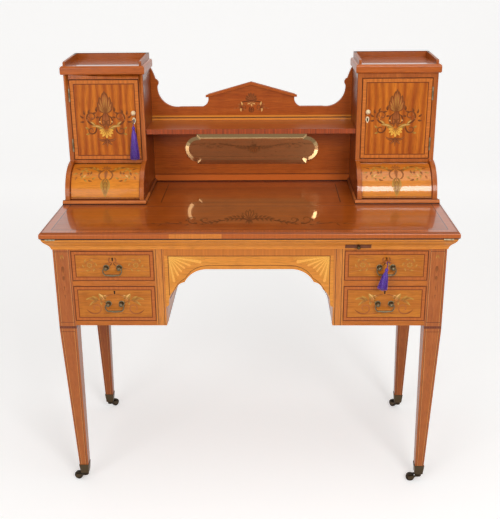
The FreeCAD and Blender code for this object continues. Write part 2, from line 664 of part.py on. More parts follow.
def cabinet(hand, side):
    """One cabinet's carcase: two sides with round cheeks, floor, rail and back."""
    pieces = []
    inner_x = f"({cabinet_inner} + cabinet_wall)"
    inner_wide = "(cabinet_width - 2 * cabinet_wall)"
    walls = {"inner": cabinet_inner, "outer": f"{cabinet_outer} - cabinet_wall"}
    for wall, x in walls.items():
        name = f"cabinet_{hand}_{wall}"
        upright = side_box(name + "_upright", side, x, cabinet_face, "top_height", "cabinet_wall",
                           "cabinet_depth", "cabinet_height")
        cheek = rod(name + "_cheek", mirrored(side, x, "cabinet_wall"), cabinet_face, pivot_z,
                    "cheek_radius", "cabinet_wall", X_AXIS)
        window = side_box(name + "_window", side, x, f"{cabinet_face} - cheek_radius", pivot_z,
                          "cabinet_wall", "cheek_radius", "cheek_radius")
        quarter = doc.addObject("Part::Common", name + "_quarter")
        quarter.Base = cheek
        quarter.Tool = window
        foot = side_box(name + "_foot", side, x, f"{cabinet_face} - cheek_radius", "top_height",
                        "cabinet_wall", "cheek_radius", "pivot_height")
        pin_x = f"{cabinet_inner} + cabinet_wall - lid_pin_length - running_fit"
        if wall == "outer":
            pin_x = f"{cabinet_outer} - cabinet_wall"
        bore = rod(name + "_bore", mirrored(side, pin_x, "lid_pin_length + running_fit"), cabinet_face,
                   pivot_z, "lid_pin + running_fit", "lid_pin_length + running_fit", X_AXIS)
        tools = [bore]
        if wall == "outer":
            tools += [fixed_leaf(f"{hand}_leaf_bed_{end}", side, end) for end in ("lower", "upper")]
        pieces.append(cut(name, fuse(name + "_blank", upright, quarter, foot), *tools))
    deep = "(cabinet_depth - cabinet_back)"
    pieces.append(side_box(f"cabinet_{hand}_floor", side, inner_x, cabinet_face,
                           f"{floor_top} - floor_thickness", inner_wide, deep, "floor_thickness"))
    pieces.append(side_box(f"cabinet_{hand}_rail", side, inner_x, cabinet_face,
                           f"{cabinet_roof} - door_rail", inner_wide, "door_thickness", "door_rail"))
    pieces.append(side_box(f"cabinet_{hand}_back", side, inner_x, "rear_line - cabinet_back",
                           "top_height", inner_wide, "cabinet_back", "cabinet_height"))
    node(f"cabinet_{hand}", *pieces)


def cabinet_caps():
    """The overhanging top boards, and the three-sided galleries that stand on them."""
    boards = []
    galleries = []
    x = f"({cabinet_inner} - cap_overhang)"
    y = f"({cabinet_face} - cap_front)"
    wide = "(cabinet_width + 2 * cap_overhang)"
    board = nosed_board(value("cabinet_width") + 2 * value("cap_overhang"),
                        value("cabinet_depth") + value("cap_front"), value("cap_thickness"),
                        value("cap_nose"), value("cap_under"))
    rail_x = f"({x} + gallery_setback)"
    rail_wide = f"({wide} - 2 * gallery_setback)"
    rail_z = f"({cabinet_roof} + cap_thickness)"
    run = value("cabinet_depth") + value("cap_front") - value("gallery_setback") - value("gallery_thickness")
    for hand, side in SIDES.items():
        boards.append(shaped(f"cap_{hand}", board, mirrored(side, f"({x} + {wide} / 2)"), y, cabinet_roof))
        galleries.append(side_box(f"gallery_{hand}_back", side, rail_x, "rear_line - gallery_thickness",
                                  rail_z, rail_wide, "gallery_thickness", "gallery_height"))
        ends = {"inner": rail_x, "outer": f"{rail_x} + {rail_wide} - gallery_thickness"}
        for end, end_x in ends.items():
            galleries.append(shaped(f"gallery_{hand}_{end}", gallery_side(run),
                                    mirrored(side, end_x, "gallery_thickness"),
                                    f"{y} + gallery_setback", rail_z))
    node("cabinet_caps", *boards)
    node("cabinet_galleries", *galleries)


def gallery_side(run):
    """A side of the gallery: round at the front and rising to the height of its back."""
    low = value("gallery_front")
    high = value("gallery_height")
    nose = low / 3
    corners = [Vector(0, 0, 0), Vector(0, 0, low - nose), Vector(0, nose, low), Vector(0, run, high),
               Vector(0, run, 0)]
    face_plate = Part.Face(Part.makePolygon(corners + corners[:1]))
    return face_plate.extrude(Vector(value("gallery_thickness"), 0, 0))


def cabinet_plinths():
    """Sloped mouldings round the cabinets' feet, and a sill under each cylinder front."""
    pieces = []
    x = f"({cabinet_inner} - cap_overhang)"
    wide = "(cabinet_width + 2 * cap_overhang)"
    cheek_y = f"({cabinet_face} - cheek_radius)"
    run = value("cheek_radius") + value("cabinet_depth") - value("back_board")
    for hand, side in SIDES.items():
        strip = plinth_strip(value("cabinet_width") + 2 * value("cap_overhang"), value("plinth_front"))
        pieces.append(shaped(f"plinth_{hand}_front", strip, mirrored(side, x, wide),
                             f"{cheek_y} - plinth_front", "top_height"))
        ends = {"inner": (cabinet_inner, -side), "outer": (cabinet_outer, side)}
        for end, (end_x, outward) in ends.items():
            pieces.append(shaped(f"plinth_{hand}_{end}", plinth_end(run, outward), mirrored(side, end_x),
                                 cheek_y, "top_height"))
        pieces.append(side_box(f"sill_{hand}", side, f"{cabinet_inner} + cabinet_wall", cheek_y,
                               "top_height", "cabinet_width - 2 * cabinet_wall", "sill_depth",
                               "plinth_height - lid_gap"))
    node("cabinet_plinths", *pieces)


def plinth_strip(length, depth):
    """A strip along X with its front face sloped back at the top."""
    high = value("plinth_height")
    slope = min(value("plinth_slope"), 0.8 * depth)
    corners = [Vector(0, 0, 0), Vector(0, 0, high - slope), Vector(0, slope, high),
               Vector(0, depth, high), Vector(0, depth, 0)]
    return Part.Face(Part.makePolygon(corners + corners[:1])).extrude(Vector(length, 0, 0))


def plinth_end(run, outward):
    """A strip along Y whose outer face, towards outward (1 or -1) in X, slopes back at the top."""
    high = value("plinth_height")
    reach = value("cap_overhang")
    slope = min(value("plinth_slope"), 0.8 * reach)
    return plate([(0, 0), (outward * reach, 0), (outward * reach, high - slope),
                  (outward * (reach - slope), high), (0, high)], run)


def cylinder_front(hand, side):
    """A quarter-cylinder shell between two quadrants, with pivot pins at its centre of curvature."""
    outer = value("lid_radius")
    inner = outer - value("lid_thickness")
    gap = value("lid_gap")
    wide = value("cabinet_width") - 2 * value("cabinet_wall") - 2 * gap
    start = math.radians(value("lid_start"))
    end = start + math.radians(value("lid_sweep"))
    shell = sector(outer, inner, start, end, wide)
    pieces = [shell]
    for edge in (0, wide - value("quadrant_thickness")):
        quadrant = sector(inner, 0, start, end, value("quadrant_thickness"))
        hub = Part.makeCylinder(value("quadrant_hub"), value("quadrant_thickness"), Vector(), Vector(1, 0, 0))
        quadrant = quadrant.fuse(hub)
        quadrant.translate(Vector(edge, 0, 0))
        pieces.append(quadrant)
    pin_start = -gap - value("lid_pin_length")
    for edge in (pin_start, wide):
        pieces.append(Part.makeCylinder(value("lid_pin"), -pin_start, Vector(edge, 0, 0), Vector(1, 0, 0)))
    solid = pieces[0].multiFuse(pieces[1:])
    x = f"{cabinet_inner} + cabinet_wall + lid_gap"
    full = "cabinet_width - 2 * cabinet_wall - 2 * lid_gap"
    node(f"cylinder_front_{hand}", shaped(f"cylinder_front_{hand}", solid, mirrored(side, x, full),
                                          cabinet_face, pivot_z))


def sector(outer, inner, start, end, length):
    """Part of a ring in the YZ plane, from angle to angle above level, run along X; front is -Y."""
    def at(radius, angle):
        return Vector(0, -radius * math.cos(angle), radius * math.sin(angle))
    middle = (start + end) / 2
    edges = [Part.Arc(at(outer, start), at(outer, middle), at(outer, end)).toShape()]
    if inner > 0:
        edges.append(Part.makeLine(at(outer, end), at(inner, end)))
        edges.append(Part.Arc(at(inner, end), at(inner, middle), at(inner, start)).toShape())
        edges.append(Part.makeLine(at(inner, start), at(outer, start)))
    else:
        edges.append(Part.makeLine(at(outer, end), Vector()))
        edges.append(Part.makeLine(Vector(), at(outer, start)))
    return Part.Face(Part.Wire(edges)).extrude(Vector(length, 0, 0))


def hinge_level(end):
    """Height of the middle of a door's lower or upper hinge."""
    if end == "lower":
        return f"({door_foot} + hinge_inset)"
    return f"({door_foot} + {door_high} - hinge_inset)"


hinge_x = f"({door_x} + {door_wide} + door_gap / 2)"
hinge_y = f"({cabinet_face} - knuckle_radius - knuckle_gap)"
knuckle = "((hinge_length - 2 * knuckle_gap) / 3)"


def fixed_leaf(name, side, end):
    """A door hinge's leaf on the cabinet's side."""
    z = f"{hinge_level(end)} - hinge_length / 2"
    return side_box(name, side, f"{hinge_x} + door_gap / 2", cabinet_face, z, "hinge_leaf", "leaf_depth",
                    "hinge_length")


def moving_leaf(name, side, end):
    """A door hinge's leaf on the door's edge."""
    z = f"{hinge_level(end)} - hinge_length / 2"
    return side_box(name, side, f"{hinge_x} - door_gap / 2 - hinge_leaf", cabinet_face, z, "hinge_leaf",
                    "leaf_depth", "hinge_length")


def leaf_tab(name, side, x, z, high):
    """The neck between a leaf and a knuckle in front of the wood."""
    return side_box(name, side, x, hinge_y, z, "hinge_leaf", f"{cabinet_face} - {hinge_y}", high)


def door_hinge_fixed(hand, side, end):
    """The cabinet's half of a door hinge: leaf, two outer knuckles and the pin."""
    name = f"{hand}_{end}_fixed"
    low = f"({hinge_level(end)} - hinge_length / 2)"
    high = f"({low} + 2 * {knuckle} + 2 * knuckle_gap)"
    axis = mirrored(side, hinge_x)
    pieces = [fixed_leaf(name + "_leaf", side, end)]
    for part, z in {"foot": low, "head": high}.items():
        pieces.append(rod(f"{name}_{part}", axis, hinge_y, z, "knuckle_radius", knuckle))
        pieces.append(leaf_tab(f"{name}_{part}_tab", side, f"{hinge_x} + door_gap / 2", z, knuckle))
    pieces.append(rod(name + "_pin", axis, hinge_y, low, "hinge_pin", "hinge_length"))
    return fuse(name, *pieces)


def door_hinge_moving(hand, side, end):
    """The door's half of a hinge: leaf and middle knuckle, bored for the pin."""
    name = f"{hand}_{end}_moving"
    z = f"({hinge_level(end)} - {knuckle} / 2)"
    axis = mirrored(side, hinge_x)
    barrel = rod(name + "_barrel", axis, hinge_y, z, "knuckle_radius", knuckle)
    tab = leaf_tab(name + "_tab", side, f"{hinge_x} - door_gap / 2 - hinge_leaf", z, knuckle)
    bore = rod(name + "_bore", axis, hinge_y, z, "hinge_pin + running_fit", knuckle)
    blank = fuse(name + "_blank", moving_leaf(name + "_leaf", side, end), barrel, tab)
    return cut(name, blank, bore)


flap_axis_y = f"({front} - knuckle_gap)"
flap_axis_z = f"({bed_top} + flap_gap / 2)"
flap_knuckle = "((flap_hinge_length - 2 * knuckle_gap) / 3)"


def flap_hinge(hand, side, moving):
    """One half of a flap hinge: the middle knuckle is the flap's, the outer two are the bed's."""
    name = f"flap_hinge_{hand}_{'moving' if moving else 'fixed'}"
    low = "(top_width / 2 - flap_hinge_inset - flap_hinge_length / 2)"
    starts = {"middle": f"({low} + {flap_knuckle} + knuckle_gap)"}
    if not moving:
        starts = {"near": low, "far": f"({low} + 2 * {flap_knuckle} + 2 * knuckle_gap)"}
    level = "1" if moving else "-1"
    tab_z = f"{bed_top} + flap_gap" if moving else f"{bed_top} - hinge_leaf"
    pieces = [flap_leaf(name + "_leaf", side, level)]
    for part, x in starts.items():
        start = mirrored(side, x, flap_knuckle)
        pieces.append(rod(f"{name}_{part}", start, flap_axis_y, flap_axis_z, "knuckle_radius", flap_knuckle,
                          X_AXIS))
        pieces.append(side_box(f"{name}_{part}_tab", side, x, flap_axis_y, tab_z, flap_knuckle,
                               "knuckle_gap + bed_inset + hinge_leaf", "hinge_leaf"))
    pin_start = mirrored(side, low, "flap_hinge_length")
    if moving:
        bore = rod(name + "_bore", pin_start, flap_axis_y, flap_axis_z, "hinge_pin + running_fit",
                   "flap_hinge_length", X_AXIS)
        return cut(name, fuse(name + "_blank", *pieces), bore)
    pieces.append(rod(name + "_pin", pin_start, flap_axis_y, flap_axis_z, "hinge_pin", "flap_hinge_length",
                      X_AXIS))
    return fuse(name, *pieces)


def hinges():
    """All hinge halves that stay with the carcase, and the flap's own halves."""
    fixed = []
    moving = []
    for hand, side in SIDES.items():
        fixed += [door_hinge_fixed(hand, side, end) for end in ("lower", "upper")]
        fixed.append(flap_hinge(hand, side, False))
        moving.append(flap_hinge(hand, side, True))
    node("fixed_hinge_leaves", *fixed)
    node("flap_hinge_leaves", *moving)


def door(hand, side):
    """An inset cupboard door, with its knob and its halves of the hinges."""
    board = side_box(f"door_{hand}_board", side, door_x, cabinet_face, door_foot, door_wide,
                     "door_thickness", door_high)
    x = mirrored(side, f"({door_x} + lock_inset)")
    hole = keyhole(f"door_{hand}_keyhole", x, cabinet_face, "(top_height + door_lock_height)",
                   "door_thickness")
    beds = [moving_leaf(f"door_{hand}_leaf_bed_{end}", side, end) for end in ("lower", "upper")]
    node(f"door_{hand}", cut(f"door_{hand}", board, hole, *beds))
    z = "top_height + door_knob_height"
    neck = rod(f"door_{hand}_knob_neck", x, f"{cabinet_face} - knob_standoff", z, "knob_neck",
               "knob_standoff", Y_AXIS)
    head = ball(f"door_{hand}_knob_head", x, f"{cabinet_face} - knob_standoff", z, "door_knob")
    knob = fuse(f"door_{hand}_knob", neck, head)
    node(f"door_fittings_{hand}", knob, *[door_hinge_moving(hand, side, end) for end in ("lower", "upper")])


def key(name, x, y, z, reach):
    """A key: round shank through the lock, and a ring bow beyond the tassel's loop."""
    shank = rod(name + "_shank", x, f"{y} - {reach} - 2 * loop_cord - bow_wire", z,
                "keyhole_radius - running_fit", f"{reach} + 2 * loop_cord + bow_wire + key_depth", Y_AXIS)
    bow = doc.addObject("Part::Torus", name + "_bow")
    bow.Placement = Placement(Vector(), X_AXIS)
    bind(bow, x=x, y=f"{y} - {reach} - 2 * loop_cord - bow_ring", z=z, Radius1="bow_ring",
         Radius2="bow_wire")
    node(name, fuse(name, shank, bow))


def tassel(name, x, y, z, length, slant):
    """A plain solid for a tassel: loop round the key, cord, head and skirt."""
    loop = Part.makeTorus(value("loop_ring"), value("loop_cord"), Vector(), Vector(0, 1, 0))
    drop = value("loop_ring") + value("tassel_cord")
    cord = Part.makeCylinder(value("loop_cord"), value("tassel_cord"), Vector(0, 0, -drop))
    head = Part.makeSphere(value("tassel_head"), Vector(0, 0, -drop - 0.6 * value("tassel_head")))
    skirt = Part.makeCone(value("tassel_skirt"), 0.85 * value("tassel_head"), length - value("tassel_head"),
                          Vector(0, 0, -drop - length))
    solid = loop.multiFuse([cord, head, skirt])
    node(name, shaped(name, solid, x, y, z, Rotation(Vector(0, 1, 0), slant)))


def keys_and_tassels():
    """A key with a tassel in the left door, and another in the upper right drawer."""
    door_key_x = f"(-({door_x} + lock_inset))"
    door_key_z = "(top_height + door_lock_height)"
    key("key_door", door_key_x, cabinet_face, door_key_z, "door_key_reach")
    tassel("tassel_door", door_key_x, f"{cabinet_face} - door_key_reach", door_key_z, value("door_tassel"), 0)
    drawer_key_x = f"({drawer_x} + {drawer_wide} / 2)"
    drawer_key_z = f"({upper_top} - upper_lock_drop)"
    key("key_drawer", drawer_key_x, face, drawer_key_z, "drawer_key_reach")
    tassel("tassel_drawer", drawer_key_x, f"{face} - drawer_key_reach", drawer_key_z, value("drawer_tassel"),
           value("drawer_tassel_slant"))


def back_board_outline():
    """Half of the back board's upper edge, from the pediment's peak out to the cabinet."""
    half = value("top_width") / 2 - value("cabinet_inset") - value("cabinet_width")
    tip = value("pediment_half")
    neck = tip - value("neck_inset")
    tip_z = value("tip_height")
    flat = value("shoulder_height")
    ear = half - value("ear_foot")
    rise = value("cabinet_height") - flat
    bump = value("ear_knuckle")
    knuckle_z = flat + 0.57 * rise
    throat = half - 0.22 * value("ear_foot")
    neck_mid = (neck, 0.6 * tip_z + 0.4 * flat)
    sweep_mid = (half - 0.41 * value("ear_foot"), flat + 0.138 * rise)
    crest = knuckle_z + 3.1 * bump
    horn_mid = (half - 0.087 * value("ear_foot"), 0.45 * crest + 0.55 * value("cabinet_height"))
    return [(0, value("peak_height")), (tip, tip_z), (tip, tip_z - value("moulding_height") / 2),
            (neck_mid, (tip + value("neck_spread"), flat)), (ear, flat),
            (sweep_mid, (throat, knuckle_z - bump)),
            ((throat - 0.7 * bump, knuckle_z + 1.2 * bump), (throat + bump, crest)),
            (horn_mid, (half, value("cabinet_height")))]


def back_board():
    """The shaped back board with the bed its mirror lies in, and the moulding along its pediment."""
    outline = back_board_outline()
    half = outline[-1][1][0]
    points = [*outline, (half, 0), (-half, 0)]
    left = [(-x, z) for x, z in (outline[-1][1],)]
    starts = [point[1] if isinstance(point[0], tuple) else point for point in outline]
    for index in range(len(outline) - 1, 0, -1):
        x, z = starts[index - 1]
        point = outline[index]
        if isinstance(point[0], tuple):
            left.append(((-point[0][0], point[0][1]), (-x, z)))
        else:
            left.append((-x, z))
    board = plate(points + left[:-1], value("back_board"))
    opening = mirror_shape(value("mirror_sink") + value("mirror_plate"))
    opening.translate(Vector(0, 0, value("mirror_level")))
    panel = shaped("back_panel", board.cut(opening), y=board_face, z="top_height")
    mouldings = []
    for hand, side in SIDES.items():
        peak = value("peak_height")
        tip = value("tip_height")
        end = value("pediment_half") + value("moulding_reach")
        fall = (peak - tip) * end / value("pediment_half")
        deep = value("moulding_height")
        corners = [(0, peak), (side * end, peak - fall), (side * end, peak - fall - 0.7 * deep),
                   (side * (end - 0.6 * deep), peak - fall - 0.7 * deep), (0, peak - deep)]
        strip = plate(corners, value("moulding_reach"))
        mouldings.append(shaped(f"pediment_moulding_{hand}", strip,
                                y=f"{board_face} - moulding_reach", z="top_height"))
    node("back_board", panel, *mouldings)


def mirror_shape(thickness):
    """The mirror's outline: a bar with a round end on each side, stepped where they meet."""
    high = value("mirror_height")
    straight = value("mirror_straight")
    middle = Part.makeBox(straight, thickness, high, Vector(-straight / 2, 0, -high / 2))
    ends = []
    for side in (-1, 1):
        centre = Vector(side * (straight / 2 - value("mirror_drop")), 0, 0)
        ends.append(Part.makeCylinder(value("mirror_end"), thickness, centre, Vector(0, 1, 0)))
    return middle.multiFuse(ends).removeSplitter()


def stage_fittings():
    """The mirror plate, and the shelf with the bead behind it."""
    node("mirror", shaped("mirror", mirror_shape(value("mirror_plate")), y=f"{board_face} + mirror_sink",
                          z="top_height + mirror_level"))
    y = f"({cabinet_face} + shelf_setback)"
    z = "(top_height + shelf_height)"
    board = box("shelf_board", f"-{cabinet_inner}", y, f"{z} - shelf_thickness", f"2 * {cabinet_inner}",
                f"{board_face} - {y}", "shelf_thickness")
    bead = box("shelf_bead", f"-{cabinet_inner}", f"{board_face} - bead_size", z, f"2 * {cabinet_inner}",
               "bead_size", "bead_size")
    node("shelf", fuse("shelf", board, bead))


def caster_cup(name, x, y):
    """A square cup on the leg's toe, with a bored boss below for the swivel stem."""
    outer_low = "(leg_toe + 2 * cup_wall)"
    outer_top = "(leg_low + 2 * cup_wall + 2 * cup_fit)"
    floor_z = "(toe_height - cup_floor)"
    block = taper(name + "_block", x, y, floor_z, f"cup_top - {floor_z}", (outer_low, outer_low),
                  (outer_top, outer_top))
    low = "(leg_toe + 2 * cup_fit)"
    top = "(leg_low + 2 * cup_fit)"
    hollow = taper(name + "_hollow", x, y, "toe_height", "cup_top - toe_height", (low, low), (top, top))
    boss = rod(name + "_boss", x, y, boss_foot, "boss_radius", "boss_height")
    bore = rod(name + "_bore", x, y, boss_foot, "stem_radius + running_fit", "stem_length + running_fit")
    return cut(name, fuse(name + "_blank", block, boss), hollow, bore)


def fork_shape():
    """The swivel fork round the stem's axis, its foot of the crown at z 0 and the trail along +X."""
    trail = value("caster_trail")
    crown = value("crown_thickness")
    gap = value("wheel_width") / 2 + value("fork_gap")
    plate_thick = value("fork_plate")
    axle = value("wheel_radius") - crown_level()
    eye = 2.2 * value("axle_radius")
    disc = Part.makeCylinder(value("crown_radius"), crown)
    pieces = [Part.makeCylinder(value("stem_radius"), crown + value("stem_length"))]
    for side in (-1, 1):
        y = gap if side > 0 else -gap - plate_thick
        arm = plate([(-0.3 * value("crown_radius"), crown), (0.5 * value("crown_radius"), crown),
                     (trail + eye, axle + eye), (trail + eye, axle - eye), (trail - eye, axle - eye),
                     (0.3 * trail, -0.2 * crown), (-0.3 * value("crown_radius"), 0)], plate_thick)
        arm.translate(Vector(0, y, 0))
        pieces.append(arm)
    bridge = Part.makeBox(0.8 * value("crown_radius"), 2 * (gap + plate_thick), crown,
                          Vector(-0.3 * value("crown_radius"), -gap - plate_thick, 0))
    length = 2 * (gap + plate_thick)
    pieces += [bridge, Part.makeCylinder(value("axle_radius"), length, Vector(trail, -length / 2, axle),
                                         Vector(0, 1, 0))]
    return disc.multiFuse(pieces)


def crown_level():
    """Height of the underside of the fork's crown above the floor."""
    boss = value("toe_height") - value("cup_floor") - value("boss_height")
    return boss - value("fork_gap") - value("crown_thickness")


def wheel_shape():
    """A round-shouldered wheel on the Y axis, bored for its axle."""
    radius = value("wheel_radius")
    wide = value("wheel_width")
    wheel = Part.makeCylinder(radius, wide, Vector(0, -wide / 2, 0), Vector(0, 1, 0))
    rims = [edge for edge in wheel.Edges if isinstance(edge.Curve, Part.Circle)]
    wheel = wheel.makeFillet(value("wheel_round"), rims)
    bore = Part.makeCylinder(value("axle_radius") + value("running_fit"), wide, Vector(0, -wide / 2, 0),
                             Vector(0, 1, 0))
    return wheel.cut(bore)


def casters():
    """Four swivel casters, each trailing the way it was left."""
    cups = []
    for row in ("front", "back"):
        for hand, side in SIDES.items():
            x, y = toe_middle(row, side)
            place = f"{row}_{hand}"
            cups.append(caster_cup(f"cup_{place}", x, y))
            angle = value(f"trail_{place}")
            turn = Rotation(Vector(0, 0, 1), angle)
            level = f"{boss_foot} - fork_gap - crown_thickness"
            node(f"caster_fork_{place}", shaped(f"caster_fork_{place}", fork_shape(), x, y, level, turn))
            along = f"caster_trail * {math.cos(math.radians(angle)):.6f}"
            across = f"caster_trail * {math.sin(math.radians(angle)):.6f}"
            node(f"caster_wheel_{place}", shaped(f"caster_wheel_{place}", wheel_shape(), f"{x} + {along}",
                                                 f"{y} + {across}", "wheel_radius", turn))
    node("caster_cups", *cups)


def check():
    """Stops if any object failed, or if any sub-part has no good shape."""
    for item in doc.Objects:
        if {"Invalid", "Error"} & set(item.State):
            raise RuntimeError(f"{item.Name} failed: {item.State}")
    for item in nodes:
        if item.Shape.isNull() or not item.Shape.isValid() or not item.Shape.Solids:
            raise RuntimeError(f"{item.Label} has no valid shape")


legs()
pedestal_sides()
drawer_frames()
back_panels()
apron()
bed_board()
rear_top()
writing_flap()
loper()
drawers()
for cabinet_hand, cabinet_side in SIDES.items():
    cabinet(cabinet_hand, cabinet_side)
    cylinder_front(cabinet_hand, cabinet_side)
    door(cabinet_hand, cabinet_side)
cabinet_caps()
cabinet_plinths()
hinges()
keys_and_tassels()
back_board()
stage_fittings()
casters()
doc.recompute()
check()
os.makedirs("parts", exist_ok=True)
for sub_part in nodes:
    sub_part.Shape.exportStep(f"parts/{sub_part.Label}.step")
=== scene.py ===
import math
import random
import json

import bpy
from mathutils import Matrix, Vector

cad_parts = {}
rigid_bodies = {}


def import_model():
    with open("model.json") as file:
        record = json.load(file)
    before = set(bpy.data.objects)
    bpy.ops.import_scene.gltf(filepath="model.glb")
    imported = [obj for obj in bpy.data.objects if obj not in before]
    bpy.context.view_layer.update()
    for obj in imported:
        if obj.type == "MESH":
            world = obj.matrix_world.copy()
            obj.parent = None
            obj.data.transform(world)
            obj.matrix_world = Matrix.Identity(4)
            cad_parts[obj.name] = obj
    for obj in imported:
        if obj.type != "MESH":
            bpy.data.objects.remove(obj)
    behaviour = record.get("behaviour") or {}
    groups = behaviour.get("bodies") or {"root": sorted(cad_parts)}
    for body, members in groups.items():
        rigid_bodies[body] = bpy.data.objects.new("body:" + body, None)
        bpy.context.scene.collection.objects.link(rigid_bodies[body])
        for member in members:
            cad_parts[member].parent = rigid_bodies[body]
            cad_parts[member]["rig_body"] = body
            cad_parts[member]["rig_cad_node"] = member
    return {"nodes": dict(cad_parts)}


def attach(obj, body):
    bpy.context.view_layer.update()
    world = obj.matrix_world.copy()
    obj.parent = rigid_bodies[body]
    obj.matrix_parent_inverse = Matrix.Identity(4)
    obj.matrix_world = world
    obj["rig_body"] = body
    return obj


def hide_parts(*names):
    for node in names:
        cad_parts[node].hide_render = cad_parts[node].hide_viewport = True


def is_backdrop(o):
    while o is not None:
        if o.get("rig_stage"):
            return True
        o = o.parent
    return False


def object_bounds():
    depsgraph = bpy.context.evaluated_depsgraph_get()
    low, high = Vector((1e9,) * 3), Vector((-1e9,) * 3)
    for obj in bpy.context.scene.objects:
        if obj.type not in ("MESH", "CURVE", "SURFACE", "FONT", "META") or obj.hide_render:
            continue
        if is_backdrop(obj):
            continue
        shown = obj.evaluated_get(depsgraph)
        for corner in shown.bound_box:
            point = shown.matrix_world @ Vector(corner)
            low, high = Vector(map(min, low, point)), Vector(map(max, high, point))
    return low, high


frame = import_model()
cad_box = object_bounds()
nodes = frame["nodes"]


# The room: a pale floor that sweeps up into a backdrop well behind the desk, lit by a soft lamp in
# front on the right, a larger one on the left, one overhead and a dimmer warm room around them.
# Its white is in the floor's own finish, which keeps the soft shadow under the desk.
def is_wire(value):
    return isinstance(value, bpy.types.NodeSocket)


def wire(kind, *inputs, **settings):
    """Adds one shading node beside those that feed it, sets it up, feeds its inputs in order and
    returns its first output."""
    tree = next(filter(is_wire, inputs)).id_data
    node = tree.nodes.new("ShaderNode" + kind)
    for setting, value in settings.items():
        setattr(node, setting, value)
    for socket, value in zip(node.inputs, inputs):
        if is_wire(value):
            tree.links.new(value, socket)
        elif value is not None:
            plain = socket.type == "RGBA" and not hasattr(value, "__len__")
            socket.default_value = (value, value, value, 1) if plain else value
    return node.outputs[0]


def mix(share, under, over, **settings):
    """Lays one colour or number over another by a share from 0 to 1."""
    return wire("MixRGB", share, under, over, **settings)


def ramp(value, low, high, first, last):
    """Turns low to high into first to last, and holds still beyond them."""
    return wire("MapRange", value, low, high, first, last)


def noise(place, scale, detail=2.0, rough=0.5, warp=0.0):
    """Cloudy grey from 0 to 1 over the places that it is fed."""
    return wire("TexNoise", place, None, scale, detail, rough, None, None, None, warp)


def reckon(operation, *values):
    """Works one number out of others."""
    return wire("Math", *values, operation=operation)


def paint(red, green, blue):
    """A colour as it looks on a card, from 0 to 255, made linear."""
    def channel(value):
        value /= 255
        return value / 12.92 if value <= 0.04045 else ((value + 0.055) / 1.055) ** 2.4
    return (channel(red), channel(green), channel(blue), 1)


def choose(*pieces):
    """Leaves only these pieces selected, the first of them active."""
    bpy.ops.object.select_all(action="DESELECT")
    for piece in pieces:
        piece.select_set(True)
    bpy.context.view_layer.objects.active = pieces[0]


def edit(selecting="FACE", action=None):
    """Starts work on the active mesh, by its corners, edges or faces, with all or none selected."""
    bpy.ops.object.mode_set(mode="EDIT")
    bpy.ops.mesh.select_mode(type=selecting)
    if action:
        bpy.ops.mesh.select_all(action=action)


def done():
    bpy.ops.object.mode_set(mode="OBJECT")


bpy.ops.mesh.primitive_plane_add(size=1, location=(0, -1, 0))
floor = bpy.context.object
floor.name = "floor"
floor.scale = (14, 9, 1)  # metres wide and deep
choose(floor)
bpy.ops.object.transform_apply(location=True, rotation=True, scale=True)
edit("EDGE", "DESELECT")
done()
for edge in floor.data.edges:
    edge.select = all(floor.data.vertices[v].co.y > 3 for v in edge.vertices)
edit("EDGE")
sweep, wall = 0.5, 6  # metres
for step in range(10):
    lean = math.radians(4.5 + 9 * step)
    bpy.ops.mesh.extrude_region_move(
        TRANSFORM_OT_translate={"value": (0, sweep * math.cos(lean), sweep * math.sin(lean))})
bpy.ops.mesh.extrude_region_move(TRANSFORM_OT_translate={"value": (0, 0, wall)})
done()
bpy.ops.object.shade_smooth()
paper = bpy.data.materials.new("studio_paper")
paper.use_nodes = True
tree = paper.node_tree
tree.nodes.clear()
seen = tree.nodes.new("ShaderNodeLightPath")
spot = tree.nodes.new("ShaderNodeTexCoord").outputs["Object"]
tint = mix(noise(spot, 3.0), (0.74, 0.74, 0.745, 1), (0.78, 0.78, 0.785, 1))
looks = reckon("MAXIMUM", seen.outputs["Is Camera Ray"], seen.outputs["Is Glossy Ray"])
looks = reckon("MAXIMUM", looks, seen.outputs["Is Transmission Ray"])
matt = wire("BsdfDiffuse", mix(looks, tint, (0.8, 0.8, 0.8, 1)), 0.0)
far = wire("SeparateXYZ", spot).node.outputs["Y"]
# Painted light: for camera, glossy and transmission rays the paper also glows, more strongly towards the
# back.
glow = wire("Emission", (1, 1, 1, 1), reckon("MULTIPLY", looks, ramp(far, -0.5, 3.0, 0.35, 0.60)))
surface = tree.nodes.new("ShaderNodeOutputMaterial")
tree.links.new(wire("AddShader", matt, glow), surface.inputs["Surface"])
floor.data.materials.append(paper)
floor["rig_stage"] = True

room = bpy.data.worlds.new("room")
bpy.context.scene.world = room
room.use_nodes = True
air = room.node_tree.nodes["Background"]
air.inputs["Color"].default_value = (1.0, 0.97, 0.93, 1)
air.inputs["Strength"].default_value = 0.36

desk_middle = Vector((0, 0, 0.8))
for label, place, power, size in (("key_lamp", (0.95, -2.5, 2.0), 33, 0.9),
                                  ("fill_lamp", (-1.7, -3.1, 1.6), 35, 1.7),
                                  ("top_lamp", (0.2, -0.5, 3.2), 22, 2.2)):
    bpy.ops.object.light_add(type="AREA", location=place)
    lamp = bpy.context.object
    lamp.name = label
    lamp.data.size = size
    lamp.data.energy = power
    lamp.rotation_euler = (desk_middle - Vector(place)).to_track_quat("-Z", "Y").to_euler()

